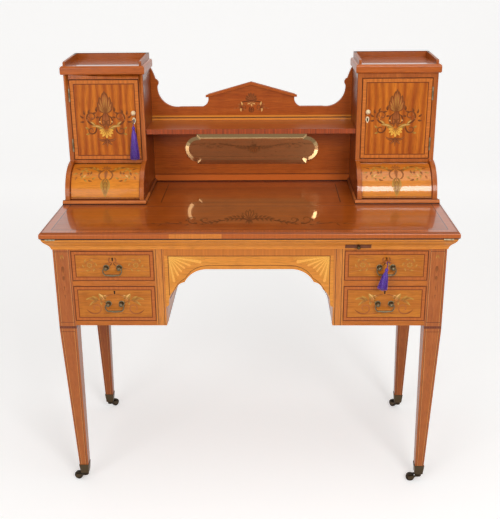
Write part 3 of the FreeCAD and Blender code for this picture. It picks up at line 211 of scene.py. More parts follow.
bpy.ops.object.camera_add()
camera = bpy.context.object
camera.name = "camera"
camera.data.sensor_fit = "HORIZONTAL"
camera.data.sensor_width = 36
camera.data.lens = 60.65
eye = Vector((0.0496, -2.2526, 1.4236))
turn, dip, roll = 0.023, 0.349, -0.009
ahead = Vector((-math.sin(turn) * math.cos(dip), math.cos(turn) * math.cos(dip), -math.sin(dip)))
right = Vector((math.cos(turn), math.sin(turn), 0))
up = right.cross(ahead)
right, up = (math.cos(roll) * right + math.sin(roll) * up, math.cos(roll) * up - math.sin(roll) * right)
camera.matrix_world = Matrix((
    (right.x, up.x, -ahead.x, eye.x),
    (right.y, up.y, -ahead.y, eye.y),
    (right.z, up.z, -ahead.z, eye.z),
    (0, 0, 0, 1)))
bpy.context.scene.camera = camera
bpy.context.scene.view_settings.view_transform = "Standard"


# The legs and the frame: satinwood, square above and tapered below, French polished. Each leg has
# a dark string line let in along its arrises and a crossband where the taper starts; the front
# ones also have a drop of bellflowers. Every arris is eased with a few strokes of sandpaper.
def eased(name, arris, sharp=35, evened=True):
    """A copy of one piece with its arrises eased, which stands for it."""
    piece = nodes[name].copy()
    piece.data = nodes[name].data.copy()
    piece.name = name + "_eased"
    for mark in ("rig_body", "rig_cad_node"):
        del piece[mark]
    piece.parent = None
    bpy.context.scene.collection.objects.link(piece)
    choose(piece)
    edit("VERT", "SELECT")
    bpy.ops.mesh.remove_doubles(threshold=0.000002)
    bpy.ops.mesh.dissolve_limited(angle_limit=math.radians(0.5))
    done()
    bevel = piece.modifiers.new("arris", "BEVEL")
    bevel.width = arris
    bevel.segments = 2
    bevel.limit_method = "ANGLE"
    bevel.angle_limit = math.radians(sharp)
    bpy.ops.object.modifier_apply(modifier="arris")
    bpy.ops.object.shade_smooth_by_angle(angle=math.radians(sharp))
    if evened:
        even = piece.modifiers.new("even", "WEIGHTED_NORMAL")
        even.keep_sharp = True
        bpy.ops.object.modifier_apply(modifier="even")
    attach(piece, nodes[name]["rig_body"])
    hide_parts(name)
    return piece


def dress(piece, finish):
    """Gives a piece its finish."""
    piece.data.materials.clear()
    piece.data.materials.append(finish)


def new_finish(name):
    """Opens a new finish: the finish itself, its shader and the place of each point of a piece."""
    finish = bpy.data.materials.new(name)
    finish.use_nodes = True
    tree = finish.node_tree
    return finish, tree.nodes["Principled BSDF"], tree.nodes.new("ShaderNodeTexCoord").outputs["Object"]


def feed(shader, socket, value):
    """Gives a shader's socket a wire or a plain value."""
    if is_wire(value):
        shader.id_data.links.new(value, shader.inputs[socket])
    else:
        shader.inputs[socket].default_value = value


def near(value, middle, half):
    """A mask that is 1 within half of the middle."""
    return reckon("COMPARE", value, middle, half)


def above(value, level):
    return reckon("GREATER_THAN", value, level)


def below(value, level):
    return reckon("LESS_THAN", value, level)


def overlap(mask, other):
    return reckon("MULTIPLY", mask, other)


def either(mask, other):
    return reckon("MAXIMUM", mask, other)


def away(value, middle):
    """How far a number is from the middle, to either side."""
    return reckon("ABSOLUTE", reckon("SUBTRACT", value, middle))


def timber(name, pale, dark, along="X", ribbon=0.0, period=0.024, polish=0.09, seed=0.0, contrast=1.0,
           shine=0.15):
    """A polished timber with its grain along one axis: broad growth streaks, fine pores, cross
    mottle and, on ribbon-striped veneer, light and dark stripes."""
    finish, shader, point = new_finish(name)

    def stretched(with_grain, across, offset):
        scale = [across] * 3
        scale["XYZ".index(along)] = with_grain
        return wire("Mapping", point, (offset + seed, offset - seed, seed), None, tuple(scale))

    broad = noise(stretched(1.6, 34, 0.7), 1.0, 5.0, 0.55, 0.35)
    streaks = noise(stretched(7, 210, 1.9), 1.0, 4.0, 0.6, 0.1)
    pores = noise(stretched(45, 1300, 3.1), 1.0)
    mottle = noise(stretched(26, 11, 5.3), 1.0, warp=0.4)
    figure = reckon("MULTIPLY_ADD", broad, 0.9, -0.45)
    for part, share in ((streaks, 0.75), (mottle, 0.45)):
        figure = reckon("MULTIPLY_ADD", reckon("SUBTRACT", part, 0.5), share, figure)
    if ribbon:
        side = wire("SeparateXYZ", point).node.outputs["X"]
        warped = reckon("MULTIPLY_ADD", noise(stretched(3, 14, 8.1), 1.0), 2.2 * period, side)
        wave = reckon("SINE", reckon("MULTIPLY", warped, 2 * math.pi / period))
        figure = reckon("MULTIPLY_ADD", wave, 0.42 * ribbon, figure)
    figure = reckon("MULTIPLY_ADD", figure, contrast, 0.5)
    figure.node.use_clamp = True
    colour = mix(figure, paint(*dark), paint(*pale))
    feed(shader, "Base Color", mix(1.0, colour, ramp(pores, 0.36, 0.5, 0.72, 1.0), blend_type="MULTIPLY"))
    feed(shader, "Roughness", ramp(streaks, 0.3, 0.7, polish + 0.24, polish + 0.34))
    relief = wire("Bump", 0.05, 0.0004, None, mix(0.75, pores, noise(point, 9.0)))
    feed(shader, "Normal", relief)
    feed(shader, "Coat Normal", relief)
    feed(shader, "Coat Weight", shine)
    feed(shader, "Coat Roughness", polish)
    feed(shader, "Specular IOR Level", 0.15 + 0.2 * shine)
    return finish


def ground_of(finish):
    """A timber's shader, and its colour so far."""
    shader = finish.node_tree.nodes["Principled BSDF"]
    return shader, shader.inputs["Base Color"].links[0].from_socket


def let_in(finish, mask, tone, bars=0.0, run=None):
    """Lets a line or band of another wood into a timber wherever the mask is 1; some calls use it to paint a
    line of shadow or highlight instead. Its short grain shows as fine bars along the run."""
    shader, under = ground_of(finish)
    wood = paint(*tone)
    if bars:
        along = wire("CombineXYZ", reckon("MULTIPLY", run, 160.0), 0.0, 0.0)
        low = tuple(channel * (1 - bars) for channel in wood[:3]) + (1,)
        high = tuple(min(1, channel * (1 + bars)) for channel in wood[:3]) + (1,)
        wood = mix(ramp(noise(along, 1.0, 3.0, 0.6), 0.35, 0.65, 0.0, 1.0), low, high)
    feed(shader, "Base Color", mix(mask, under, wood))


def painted_shade(finish, mask, tint):
    """Darkens a timber by a tint wherever the mask is 1: painted shade."""
    shader, under = ground_of(finish)
    feed(shader, "Base Color", mix(mask, under, (*tint, 1), blend_type="MULTIPLY"))


def places(finish, fold=""):
    """The three coordinates of a point as numbers, with the folded ones the same on both sides."""
    point = finish.node_tree.nodes.new("ShaderNodeTexCoord").outputs["Object"]
    split = wire("SeparateXYZ", point).node
    return [reckon("ABSOLUTE", split.outputs[axis]) if axis in fold else split.outputs[axis]
            for axis in "XYZ"]


def frame_lines(finish, across, up, middle, half, lines):
    """Lets lines and bands into a panel round a rectangle: each has its distance in from the
    rectangle's edge, its width, its wood and how strongly its short grain shows."""
    side = reckon("SUBTRACT", away(across, middle[0]), half[0])
    top = reckon("SUBTRACT", away(up, middle[1]), half[1])
    edge = reckon("MAXIMUM", side, top)
    run = mix(above(side, top), across, up)
    for inset, width, tone, bars in lines:
        let_in(finish, near(edge, -inset, width / 2), tone, bars, run)


DARK = (78, 36, 14)
CORNERS = ("front_left", "front_right", "back_left", "back_right")
LEG = 0.482  # the legs' middles above the taper stand this far to each side
TOE, KNEE = 0.057, 0.487  # the taper's foot and top
MIDDLE_DEPTH = 0.010  # halfway between the front and back legs
leg_wood = timber("leg_satinwood", (194, 110, 46), (152, 72, 24), along="Z", seed=3.0, shine=0.32)
across, deep, height = places(leg_wood, fold="X")
off_x = away(across, ramp(height, TOE, KNEE, 0.4768, LEG))
off_y = away(away(deep, MIDDLE_DEPTH), ramp(height, TOE, KNEE, 0.2038, 0.209))
half_leg = ramp(height, TOE, KNEE, 0.0128, 0.023)
string = 0.0006  # half the width of a string line
from_arris = reckon("SUBTRACT", half_leg, reckon("MINIMUM", off_x, off_y))
for inset, width, tone in ((0.0052, 0.0013, DARK), (0.0065, 0.0012, (216, 140, 72))):
    let_in(leg_wood, near(from_arris, inset, width / 2), tone)
inside = above(from_arris, 0.0050)
for level in (0.508, 0.706, 0.4805):
    let_in(leg_wood, overlap(near(height, level, string), inside), DARK)
let_in(leg_wood, near(height, 0.4935, 0.0036), (112, 52, 24), 0.35, reckon("ADD", across, deep))
# Painted shade: the back pair of legs is darkened, as if further from the light.
painted_shade(leg_wood, above(deep, 0.1), (0.8, 0.72, 0.64))  # the back pair
for corner in CORNERS:
    dress(eased("leg_" + corner, 0.0008), leg_wood)


# The bellflowers on the legs, and every other flower, leaf and scroll on the desk, are cut from
# thin veneers of holly, box, stained and dark woods and let into the ground, with one end of each
# piece scorched in hot sand so that it looks shaded and round.
WOODS = {"dark": ((84, 40, 14), (122, 66, 26)), "rose": ((126, 62, 26), (174, 98, 46)),
         "green": ((120, 86, 28), (184, 144, 62)), "pale": ((196, 136, 66), (236, 188, 112)),
         "gold": ((206, 134, 36), (242, 188, 76)), "line": ((88, 44, 18), (96, 50, 20)),
         "fan": ((250, 192, 92), (238, 162, 72)), "fan_shade": ((242, 174, 76), (206, 126, 46)),
         "bone": ((226, 204, 164), (236, 220, 184)), "hole_shade": ((12, 8, 5), (18, 12, 8))}


def stroke(cut, u, v, heading, length, wide, wood, turn=0.0, coil=0.0, form="leaf", tail=0.25, steps=12,
           flip=False):
    """Cuts one piece of veneer in millimetres: it starts at u, v, heads off in degrees from the
    u axis, turns and coils on its way, and is a leaf, a bud, or a scroll that narrows to a tail."""
    spine, half = [], []
    x, y = u, v
    for step in range(steps + 1):
        t = step / steps
        angle = math.radians(heading + turn * t + coil * t * t)
        if step:
            x += length / steps * math.cos(angle)
            y += length / steps * math.sin(angle)
        swell = {"leaf": math.sin(math.pi * min(1, t ** 0.75 * 0.97 + 0.015)) ** 0.9,
                 "bud": math.sin(math.pi * min(1, t ** 1.6 * 0.97 + 0.015)) ** 0.8,
                 "scroll": (1 - (1 - tail) * t) * min(1, 6 * t + 0.15, 8 * (1 - t) + 0.25)}[form]
        spine.append((x, y, angle))
        half.append(wide / 2 * swell)
    edge_a = [(x - h * math.sin(a), y + h * math.cos(a)) for (x, y, a), h in zip(spine, half)]
    edge_b = [(x + h * math.sin(a), y - h * math.cos(a)) for (x, y, a), h in zip(spine, half)]
    if flip:
        edge_a, edge_b = ([(-x, y) for x, y in edge_b], [(-x, y) for x, y in edge_a])
    cut.append((edge_a, edge_b, wood))


def pair(cut, *args, **kwargs):
    """Cuts a stroke and its fellow on the other side of the middle line."""
    stroke(cut, *args, **kwargs)
    stroke(cut, *args, flip=True, **kwargs)


def scrolls(cut, *args, tail=0.5, steps=18, **bends):
    """Cuts a pair of scrolls, each narrowing to its tail as it turns and coils."""
    pair(cut, *args, form="scroll", tail=tail, steps=steps, **bends)


def leaves(cut, roots, long, wide, wood, turn):
    """Cuts pairs of like leaves, each from its own root and with its own heading."""
    for u, v, heading in roots:
        pair(cut, u, v, heading, long, wide, wood, turn=turn)


def spray(cut, v, aim, petals, bend, *layers, steps=12):
    """Cuts a spray from one point of the middle line. Each petal leans so far from the aim and is so
    long; it bends by its lean, and is laid up of layers: a share of its length, a width, a wood
    and a form. One that leans has its fellow on the other side."""
    for lean, long in petals:
        for way in (1, -1) if lean else (1,):
            for share, wide, wood, form in layers:
                stroke(cut, 0, v, aim - way * lean, long * share, wide, wood, turn=way * bend(lean),
                       form=form, steps=steps)


def disc(cut, u, v, across, wood, both=False):
    """Cuts a small round berry, or one on each side of the middle line."""
    for side in ((1, -1) if both else (1,)):
        rim = [(side * u + across / 2 * math.cos(math.radians(a)), v + across / 2 * math.sin(math.radians(a)))
               for a in range(-90, 91, 20)]
        low = [(2 * side * u - x, y) for x, y in rim]
        cut.append((low, rim, wood))


inlay_wood, shader, point = new_finish("marquetry_veneers")
stain = inlay_wood.node_tree.nodes.new("ShaderNodeAttribute")
stain.attribute_name = "veneer"
fibre = noise(wire("Mapping", point, None, (0.3, 0.5, 0.4), (900, 900, 240)), 1.0, 3.0, 0.6)
shadow = ramp(fibre, 0.3, 0.7, 0.8, 1.1)
feed(shader, "Base Color", mix(1.0, stain.outputs["Color"], shadow, blend_type="MULTIPLY"))
feed(shader, "Roughness", ramp(fibre, 0.3, 0.7, 0.3, 0.42))
feed(shader, "Normal", wire("Bump", 0.08, 0.0002, None, fibre))
feed(shader, "Coat Weight", 0.12)
feed(shader, "Coat Roughness", 0.1)
feed(shader, "Specular IOR Level", 0.16)


def marquetry(name, cut, lay, body, fade=0.0, ground=(206, 122, 48)):
    """Lays a set of cut veneers in their ground: lay turns millimetres on the panel, and a height
    over it, into a place on the desk. Each piece is a thin closed slip let in flush."""
    mesh = bpy.data.meshes.new(name)
    corners, faces, stains = [], [], []
    base = paint(*ground)
    proud, each, depth = 0.03, 0.0025, -0.5  # millimetres over and under the ground
    for index, (edge_a, edge_b, wood) in enumerate(cut):
        lift = proud + each * index
        count = len(edge_a)
        first = len(corners)
        tones = [paint(*tone) for tone in WOODS[wood]]
        for level in (lift, depth):
            for edge in (edge_a, edge_b):
                for step, (u, v) in enumerate(edge):
                    corners.append(lay(u, v, level))
                    t = min(1, 1.6 * step / (count - 1))
                    mixed = [(1 - t) * a + t * b for a, b in zip(*tones)]
                    stains.append([(1 - fade) * a + fade * b for a, b in zip(mixed, base)])
        top_a, top_b, low_a, low_b = (first + k * count for k in range(4))
        for step in range(count - 1):
            faces.append((top_b + step, top_b + step + 1, top_a + step + 1, top_a + step))
            faces.append((low_a + step, low_a + step + 1, low_b + step + 1, low_b + step))
            faces.append((top_a + step, top_a + step + 1, low_a + step + 1, low_a + step))
            faces.append((low_b + step, low_b + step + 1, top_b + step + 1, top_b + step))
        faces.append((top_b, top_a, low_a, low_b))
        last = count - 1
        faces.append((top_a + last, top_b + last, low_b + last, low_a + last))
    mesh.from_pydata(corners, [], faces)
    mesh.color_attributes.new("veneer", "FLOAT_COLOR", "POINT")
    mesh.color_attributes["veneer"].data.foreach_set("color", [c for stain in stains for c in stain])
    mesh.materials.append(inlay_wood)
    piece = bpy.data.objects.new(name, mesh)
    bpy.context.scene.collection.objects.link(piece)
    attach(piece, body)


def on_face(face, middle=0.0, foot=0.0):
    """Lays veneers upright on a board whose face is that far back, about a middle and up from a foot."""
    return lambda u, v, lift: (middle + u / 1000, face - lift / 1000, foot + v / 1000)


FRONT = -0.222  # the face of the legs, the drawers and the apron
SIDES = ((-1, "left"), (1, "right"))
husks = []
pair(husks, 0.4, 190, -66, 13, 3.0, "green", turn=-14)
for top, size, wood in ((158, 1.0, "dark"), (131, 0.78, "dark"), (103, 0.66, "rose"), (79, 0.56, "rose")):
    pair(husks, 0.4, top, -72, 15 * size, 4.6 * size, wood, turn=-16)
    stroke(husks, 0, top - 1, -90, 19 * size, 4.0 * size, "dark")
for side, hand in SIDES:
    marquetry("bellflowers_" + hand, husks, on_face(FRONT, side * LEG, 0.508), "carcase", fade=0.34,
              ground=(186, 106, 52))


# The carcase between the legs: side panels, inner stiles, kneehole panels, rails and dust boards,
# all dovetailed and glued, with dark string lines on the stiles; the hidden boards and the back
# are plain, unpolished wood of the same family.
side_wood = timber("side_veneer", (222, 140, 56), (190, 108, 40), along="Z", ribbon=0.5, period=0.05,
                   seed=5.0, shine=0.3)
deep, height = places(side_wood)[1:]
frame_lines(side_wood, deep, height, (MIDDLE_DEPTH, 0.6065), (0.186, 0.1075),
            ((0.012, 0.0012, DARK, 0), (0.0135, 0.0014, (226, 160, 92), 0),
             (0.005, 0.009, (176, 96, 44), 0.2)))
across, deep = places(side_wood, fold="X")[:2]
on_front = below(deep, FRONT + 0.0005)
for place in (0.2235, 0.2395):
    let_in(side_wood, overlap(near(across, place, 0.0007), on_front), DARK)
rail_wood = timber("rail_satinwood", (204, 118, 46), (172, 90, 30), along="X", seed=7.0)
plain_wood = timber("plain_board", (176, 104, 52), (128, 70, 34), along="X", polish=0.45, seed=9.0,
                    shine=0.05)
for name, finish in (("pedestal_sides", side_wood), ("drawer_frames", rail_wood),
                     ("back_panels", plain_wood)):
    dress(eased(name, 0.0005), finish)


# The apron over the kneehole: one board fretted to a flat arch with a scallop and a pointed foot
# on each side, veneered lengthways, a dark string line following the fret, and in each upper
# corner a fan of sand-shaded holly.
apron_wood = timber("apron_veneer", (234, 155, 62), (204, 122, 44), along="X", seed=11.0)
across, _, height = places(apron_wood, fold="X")
half_span, rail_foot, string = 0.208, 0.694, 0.0008
let_in(apron_wood, overlap(near(height, rail_foot, string), below(across, half_span + 0.0005)), DARK)
let_in(apron_wood, overlap(near(across, half_span, string), above(height, 0.585)), DARK)
let_in(apron_wood, above(height, rail_foot + string), (194, 114, 44), 0.12, across)
dress(eased("apron", 0.0006), apron_wood)


def ribbon(cut, line, wide, wood):
    """Cuts string lines of even width that follow a row of points on each side of the panel."""
    for side in (1, -1):
        edge_a, edge_b = [], []
        for step, (u, v) in enumerate(line):
            before, after = line[max(0, step - 1)], line[min(len(line) - 1, step + 1)]
            way = Vector((after[0] - before[0], after[1] - before[1])).normalized() * wide / 2
            edge_a.append((side * (u - way.y), v + way.x))
            edge_b.append((side * (u + way.y), v - way.x))
        cut.append((edge_a, edge_b, wood) if side > 0 else (edge_b, edge_a, wood))


fans = []
ribbon(fans, [(0, 668), (60, 668), (108, 667.6), (122, 666), (136, 661), (149, 653), (158, 643), (165, 633),
              (174, 627), (184, 618), (192, 606), (199, 592), (207, 576)], 1.3, "line")
rays, corner_u, corner_v = 13, 207, 693
gap = math.radians(45 / rays) * 0.86
for number in range(rays):
    ray = 90 * (number + 0.5) / rays
    square = math.cos(math.radians(2 * ray)) ** 4
    reach = 52 + (42 if ray < 45 else 24) * square
    wood = "fan" if number % 2 else "fan_shade"
    aim = math.radians(ray)
    root, low, tip, high = [(corner_u - out * math.cos(way), corner_v - out * math.sin(way))
                            for out, way in ((0.5657, math.radians(45)), (reach, aim - gap),
                                             (1.04 * reach, aim), (reach, aim + gap))]
    for side in (1, -1):
        a = [(side * x, y) for x, y in (root, low, tip)]
        b = [(side * x, y) for x, y in (root, high, tip)]
        fans.append((b, a, wood) if side > 0 else (a, b, wood))
marquetry("spandrel_fans", fans, on_face(FRONT), "carcase", ground=(226, 148, 66))


# The bed board under the flap, its front and ends worked to an ogee over a fillet, carries the
# dark green leather of the writing surface. The loper pulls out of it on the right to hold up
# the opened flap, and has a small turned knob.
board_wood = timber("bed_satinwood", (238, 154, 60), (208, 122, 42), along="X", seed=13.0)
deep, height = places(board_wood)[1:]
for level, half in ((0.7395, 0.0007), (0.7275, 0.0004)):
    let_in(board_wood, near(height, level, half), (150, 76, 28))
# Painted shadow: the bed board's top front edge is near-black, for the gap under the flap.
let_in(board_wood, overlap(above(height, 0.7456), below(deep, -0.2454)), (58, 26, 10))
loper_wood = timber("loper_mahogany", (134, 76, 44), (98, 50, 28), along="X", seed=14.0)
across, deep, height = places(loper_wood)
# Painted shadow: the loper's top and right end are near-black, for the shade in its recess.
edge = either(above(height, 0.7262), above(across, 0.3085))
let_in(loper_wood, overlap(edge, below(deep, -0.2342)), (52, 24, 16))
for name, finish in (("bed_board", board_wood), ("loper", loper_wood)):
    dress(eased(name, 0.0004, sharp=28), finish)

hide, shader, point = new_finish("tooled_leather")
clouds = noise(point, 14.0, 4.0, 0.6)
colour = mix(clouds, paint(34, 58, 40), paint(58, 84, 56))
across, deep, _ = places(hide)
side = reckon("SUBTRACT", reckon("ABSOLUTE", across), 0.468)
back = reckon("SUBTRACT", away(deep, -0.130), 0.089)
edge = reckon("MAXIMUM", side, back)
gilt = near(edge, -0.012, 0.0009)
for inset in (0.0165, 0.0245):
    gilt = either(gilt, near(edge, -inset, 0.0004))
beads = reckon("SINE", reckon("MULTIPLY", mix(above(side, back), across, deep), 1150.0))
gilt = either(gilt, overlap(above(beads, 0.1), near(edge, -0.0205, 0.0018)))
feed(shader, "Base Color", mix(gilt, colour, paint(214, 172, 92)))
feed(shader, "Metallic", gilt)
feed(shader, "Roughness", mix(gilt, ramp(clouds, 0.3, 0.7, 0.42, 0.56), 0.3))
feed(shader, "Normal", wire("Bump", 0.35, 0.0004, None, wire("TexVoronoi", point, None, 620)))
for name in ("bed_leather", "flap_leather"):
    dress(nodes[name], hide)


# The top: a fold-over flap in front and a fixed board behind it, both crossbanded and strung, the
# grain running from end to end, with a crest of dark scrolling foliage in the middle of the flap.
# Two let-in brass hinges at the front carry the flap over.
top_wood = timber("top_satinwood", (194, 98, 24), (136, 56, 8), along="X", polish=0.04, seed=15.0, shine=0.8)
across, deep, height = places(top_wood, fold="X")
frame_lines(top_wood, across, deep, (0, 0.0095), (0.530, 0.2605),
            ((0.0165, 0.019, (184, 92, 36), 0.18), (0.0275, 0.0022, DARK, 0),
             (0.0070, 0.0018, (96, 44, 18), 0)))
half_panel, flap_back = 0.252, -0.0098  # the fixed board's strung panel, and the flap's back edge
panel = overlap(near(across, half_panel, 0.0016), near(deep, 0.125, 0.1))
rim = overlap(near(deep, 0.0265, 0.0009), below(across, half_panel + 0.0005))
rim = either(rim, near(deep, flap_back, 0.0014))
let_in(top_wood, overlap(either(panel, rim), above(height, 0.7485)), DARK)
edge_front, edge_end, moulding_top, FLAP_TOP = -0.2425, 0.5225, 0.7622, 0.765
on_front = below(deep, edge_front)
on_edge = either(on_front, above(across, edge_end))
low = below(height, moulding_top)
let_in(top_wood, overlap(on_edge, low), (176, 88, 26), 0.1, across)
patch = overlap(near(places(top_wood)[0], -0.1335, 0.0665), on_front)
let_in(top_wood, overlap(patch, low), (200, 116, 40), 0.1, across)
# The second line is painted shadow: a near-black band along the flap's lower edge, for the gap over the bed
# board.
for level, half, tone in ((0.7627, 0.0006, (92, 42, 16)), (0.7478, 0.0024, (46, 20, 8))):
    let_in(top_wood, overlap(near(height, level, half), on_edge), tone)
feed(ground_of(top_wood)[0], "Coat Weight", ramp(on_edge, 0.0, 1.0, 0.8, 0.1))
for name in ("rear_top", "writing_flap"):
    dress(eased(name, 0.0009), top_wood)

crest = []
for layer in ((1.0, 8.6, "dark", "bud"), (0.86, 3.6, "rose", "bud")):
    spray(crest, 0, 90, ((66, 27), (45, 35), (22, 41), (0, 44)), lambda lean: min(16, lean), layer)
stroke(crest, 0, 0, -90, 19, 8, "dark")
pair(crest, 2, -1, -56, 17, 5.4, "dark", turn=-20)
scrolls(crest, 3, -2, 24, 74, 5.0, "dark", turn=-44, coil=-16)
for root, rise, aim, size in ((16, 5, 70, 15), (26, 8, 56, 15), (36, 9, 44, 14), (46, 7, 30, 13),
                              (56, 3, 16, 12), (18, 3, -44, 13), (30, 4, -44, 14), (42, 4, -46, 13),
                              (54, 0, -52, 11)):
    pair(crest, root, rise, aim, size, 5.8, "dark", turn=-24)
scrolls(crest, 64, -5, -2, 60, 4.0, "dark", turn=-40, coil=20)
leaves(crest, ((74, -6, 50), (86, -9, 40), (98, -12, 34), (80, -8, -40), (94, -12, -44)),
       12, 4.6, "dark", -30)
scrolls(crest, 104, -14, -10, 58, 4.0, "dark", turn=60, coil=300, tail=0.6, steps=26)
leaves(crest, ((118, -17, -34), (134, -15, 0), (128, -6, 80)), 12, 4.4, "dark", 40)
scrolls(crest, 134, -18, 0, 70, 3.8, "dark", turn=20, coil=300, tail=0.6, steps=26)
leaves(crest, ((156, -20, -30), (174, -15, 10), (166, -7, 90)), 13, 4.4, "dark", 40)
scrolls(crest, 172, -20, 14, 106, 3.4, "dark", turn=-36, coil=14, tail=0.3)
leaves(crest, ((206, -16, 34), (226, -18, -30), (244, -18, 24)), 13, 4.0, "dark", -30)


def on_flap(u, v, lift):
    """Lays veneers flat in the middle of the flap, drawn out from front to back."""
    middle, drawn_out = -0.134, 2.15
    return (u / 1000, middle + drawn_out * v / 1000, FLAP_TOP + lift / 1000)


marquetry("flap_crest", crest, on_flap, "flap", fade=0.1, ground=(158, 76, 26))


# The four drawers: fronts veneered lengthways inside a dark string line and a crossband, the
# upper ones with a leafy wreath on each side of the lock, the lower ones with acanthus scrolls,
# all of sand-shaded veneers; plain oak boxes lap dovetailed behind them.
drawer_wood = timber("drawer_veneer", (210, 130, 42), (168, 88, 22), along="X", seed=17.0, contrast=1.2)
across, _, height = places(drawer_wood, fold="X")
PEDESTAL = 0.352  # the middle of each row of drawers, to each side
for middle, half in ((0.667, 0.0403), (0.5615, 0.0488)):
    frame_lines(drawer_wood, across, height, (PEDESTAL, middle), (0.1063, half),
                ((0.0048, 0.0092, (182, 98, 40), 0.16), (0.0098, 0.0024, (122, 56, 18), 0),
                 (0.0006, 0.0018, (106, 48, 18), 0)))
oak = timber("drawer_oak", (196, 148, 92), (154, 106, 58), along="Y", polish=0.5, seed=19.0, shine=0.0)


def keyhole(cut, u, v):
    """Cuts a near-black slip over a keyhole, painted shade for the dark of the hole: a round eye over a short
    slot.
    """
    disc(cut, u, v + 1.8, 4.6, "hole_shade")
    stroke(cut, u, v + 1.4, -90, 7.0, 3.4, "hole_shade", form="scroll", tail=1.0, steps=6)


wreaths = []
scrolls(wreaths, 20, 664, -24, 78, 3.0, "rose", turn=64, coil=-60, steps=20)
scrolls(wreaths, 30, 684, 20, 52, 2.4, "rose", turn=-70, coil=80, steps=20)
scrolls(wreaths, 72, 669, 90, 76, 2.6, "rose", turn=340, steps=32)
for aim in range(-150, 210, 60):
    out_u, out_v = math.cos(math.radians(aim)), 0.92 * math.sin(math.radians(aim))
    for start, twist, size, wide, wood in ((2, 0, 7, 4.4, "green"), (14, 55, 12, 4.2, "green"),
                                           (9, 100, 7, 2.4, "rose")):
        pair(wreaths, 60 + start * out_u, 669 + start * out_v, aim + twist, size, wide, wood, turn=50)
pair(wreaths, 80, 664, 10, 12, 3.4, "rose", turn=-60)
lock_scrolls = []
scrolls(lock_scrolls, 5, 690, -30, 26, 4.6, "rose", turn=-100, coil=-160, tail=0.6, steps=16)
pair(lock_scrolls, 4, 678, -36, 20, 3.6, "rose", turn=50)
pair(lock_scrolls, 2, 676, -70, 14, 3.2, "dark", turn=30)
foliage = []
for root, rise, aim, size in ((18, 583, 8, 18), (24, 574, 66, 20), (30, 570, 84, 23), (37, 568, 98, 23),
                              (44, 569, 64, 22), (50, 571, 36, 24), (54, 576, 14, 24), (46, 570, -10, 27),
                              (34, 569, -56, 12), (26, 572, -100, 12)):
    wood = "pale" if root in (18, 30) else "green"
    pair(foliage, root, rise, aim, size, 6.0, wood, turn=-42)
    pair(foliage, root, rise, aim - 3, size * 0.75, 1.6, "rose", turn=-40)
scrolls(foliage, 4, 588, -4, 46, 2.8, "rose", turn=-30, coil=-40, tail=0.25)
scrolls(foliage, 18, 561, 20, 48, 2.6, "rose", turn=50, coil=-130, tail=0.25)
scrolls(foliage, 76, 545, -130, 92, 4.2, "rose", turn=-70, coil=-330, tail=0.7, steps=30)
scrolls(foliage, 14, 536, -20, 34, 2.4, "rose", turn=40, coil=-20, tail=0.25, steps=12)

for side, hand in SIDES:
    for level, lock, sides, fade, top in (("upper", 686, wreaths, 0.42, lock_scrolls),
                                          ("lower", 594, foliage, 0.12, [])):
        name = level + "_" + hand
        dress(eased("drawer_front_" + name, 0.0006), drawer_wood)
        dress(nodes["drawer_box_" + name], oak)
        hole = []
        keyhole(hole, 0, lock)
        for kind, cut, faded in (("scrolls_", sides, fade), ("lock_scrolls_", top, 0.1),
                                 ("keyhole_", hole, 0.0)):
            if cut:
                marquetry(kind + name, cut, on_face(FRONT, side * PEDESTAL), "drawer_" + name, fade=faded,
                          ground=(206, 128, 52))


# The handles: two turned brass posts through a round rosette and a cast swan-neck bail, thicker
# in the middle, all toned down by a brown-green patina that is rubbed off on the high spots. The
# flap's hinges and the loper's knob are of the same brass.
patina, shader, point = new_finish("toned_brass")


def high_spots(finish, low, high, share):
    """A mask of the arrises and tips of a piece, where handling wears its metal bright."""
    bend = finish.node_tree.nodes.new("ShaderNodeNewGeometry").outputs["Pointiness"]
    return ramp(bend, low, high, 0.0, share)


crust = noise(point, 260.0, 5.0, 0.65)
age = ramp(crust, 0.36, 0.66, 0.0, 1.0)
colour = mix(age, paint(98, 80, 48), paint(52, 46, 32))
feed(shader, "Base Color", mix(high_spots(patina, 0.51, 0.6, 0.6), colour, paint(196, 182, 150)))
feed(shader, "Roughness", ramp(age, 0.0, 1.0, 0.28, 0.5))
feed(shader, "Metallic", 0.9)
feed(shader, "Normal", wire("Bump", 0.15, 0.0004, None, crust))


def turned(name, profile, place, lean=(0, 0, 0), finish=None, steps=28):
    """Turns a piece on the lathe: a profile of radii and heights in millimetres is spun about its
    axis, closed at both poles, and set in its place in metres, leant over by degrees about X, Y, Z."""
    bpy.ops.mesh.primitive_circle_add(vertices=3, radius=0.001)
    piece = bpy.context.object
    piece.name = name
    mesh = piece.data
    mesh.clear_geometry()
    mesh.from_pydata([(r / 1000, 0, h / 1000) for r, h in profile],
                     [(k, k + 1) for k in range(len(profile) - 1)], [])
    choose(piece)
    edit("VERT", "SELECT")
    bpy.ops.mesh.spin(steps=steps, angle=2 * math.pi, center=(0, 0, 0), axis=(0, 0, 1))
    bpy.ops.mesh.select_all(action="SELECT")
    bpy.ops.mesh.remove_doubles(threshold=0.00001)
    bpy.ops.mesh.normals_make_consistent(inside=False)
    done()
    bpy.ops.object.shade_smooth_by_angle(angle=math.radians(50))
    turning = Matrix.Translation(place)
    for degrees, axis in zip(lean, "XYZ"):
        turning = turning @ Matrix.Rotation(math.radians(degrees), 4, axis)
    mesh.transform(turning)
    if finish:
        mesh.materials.append(finish)
    return piece


def joined(name, pieces):
    """Makes one piece of several."""
    choose(*pieces)
    bpy.ops.object.join()
    pieces[0].name = name
    return pieces[0]


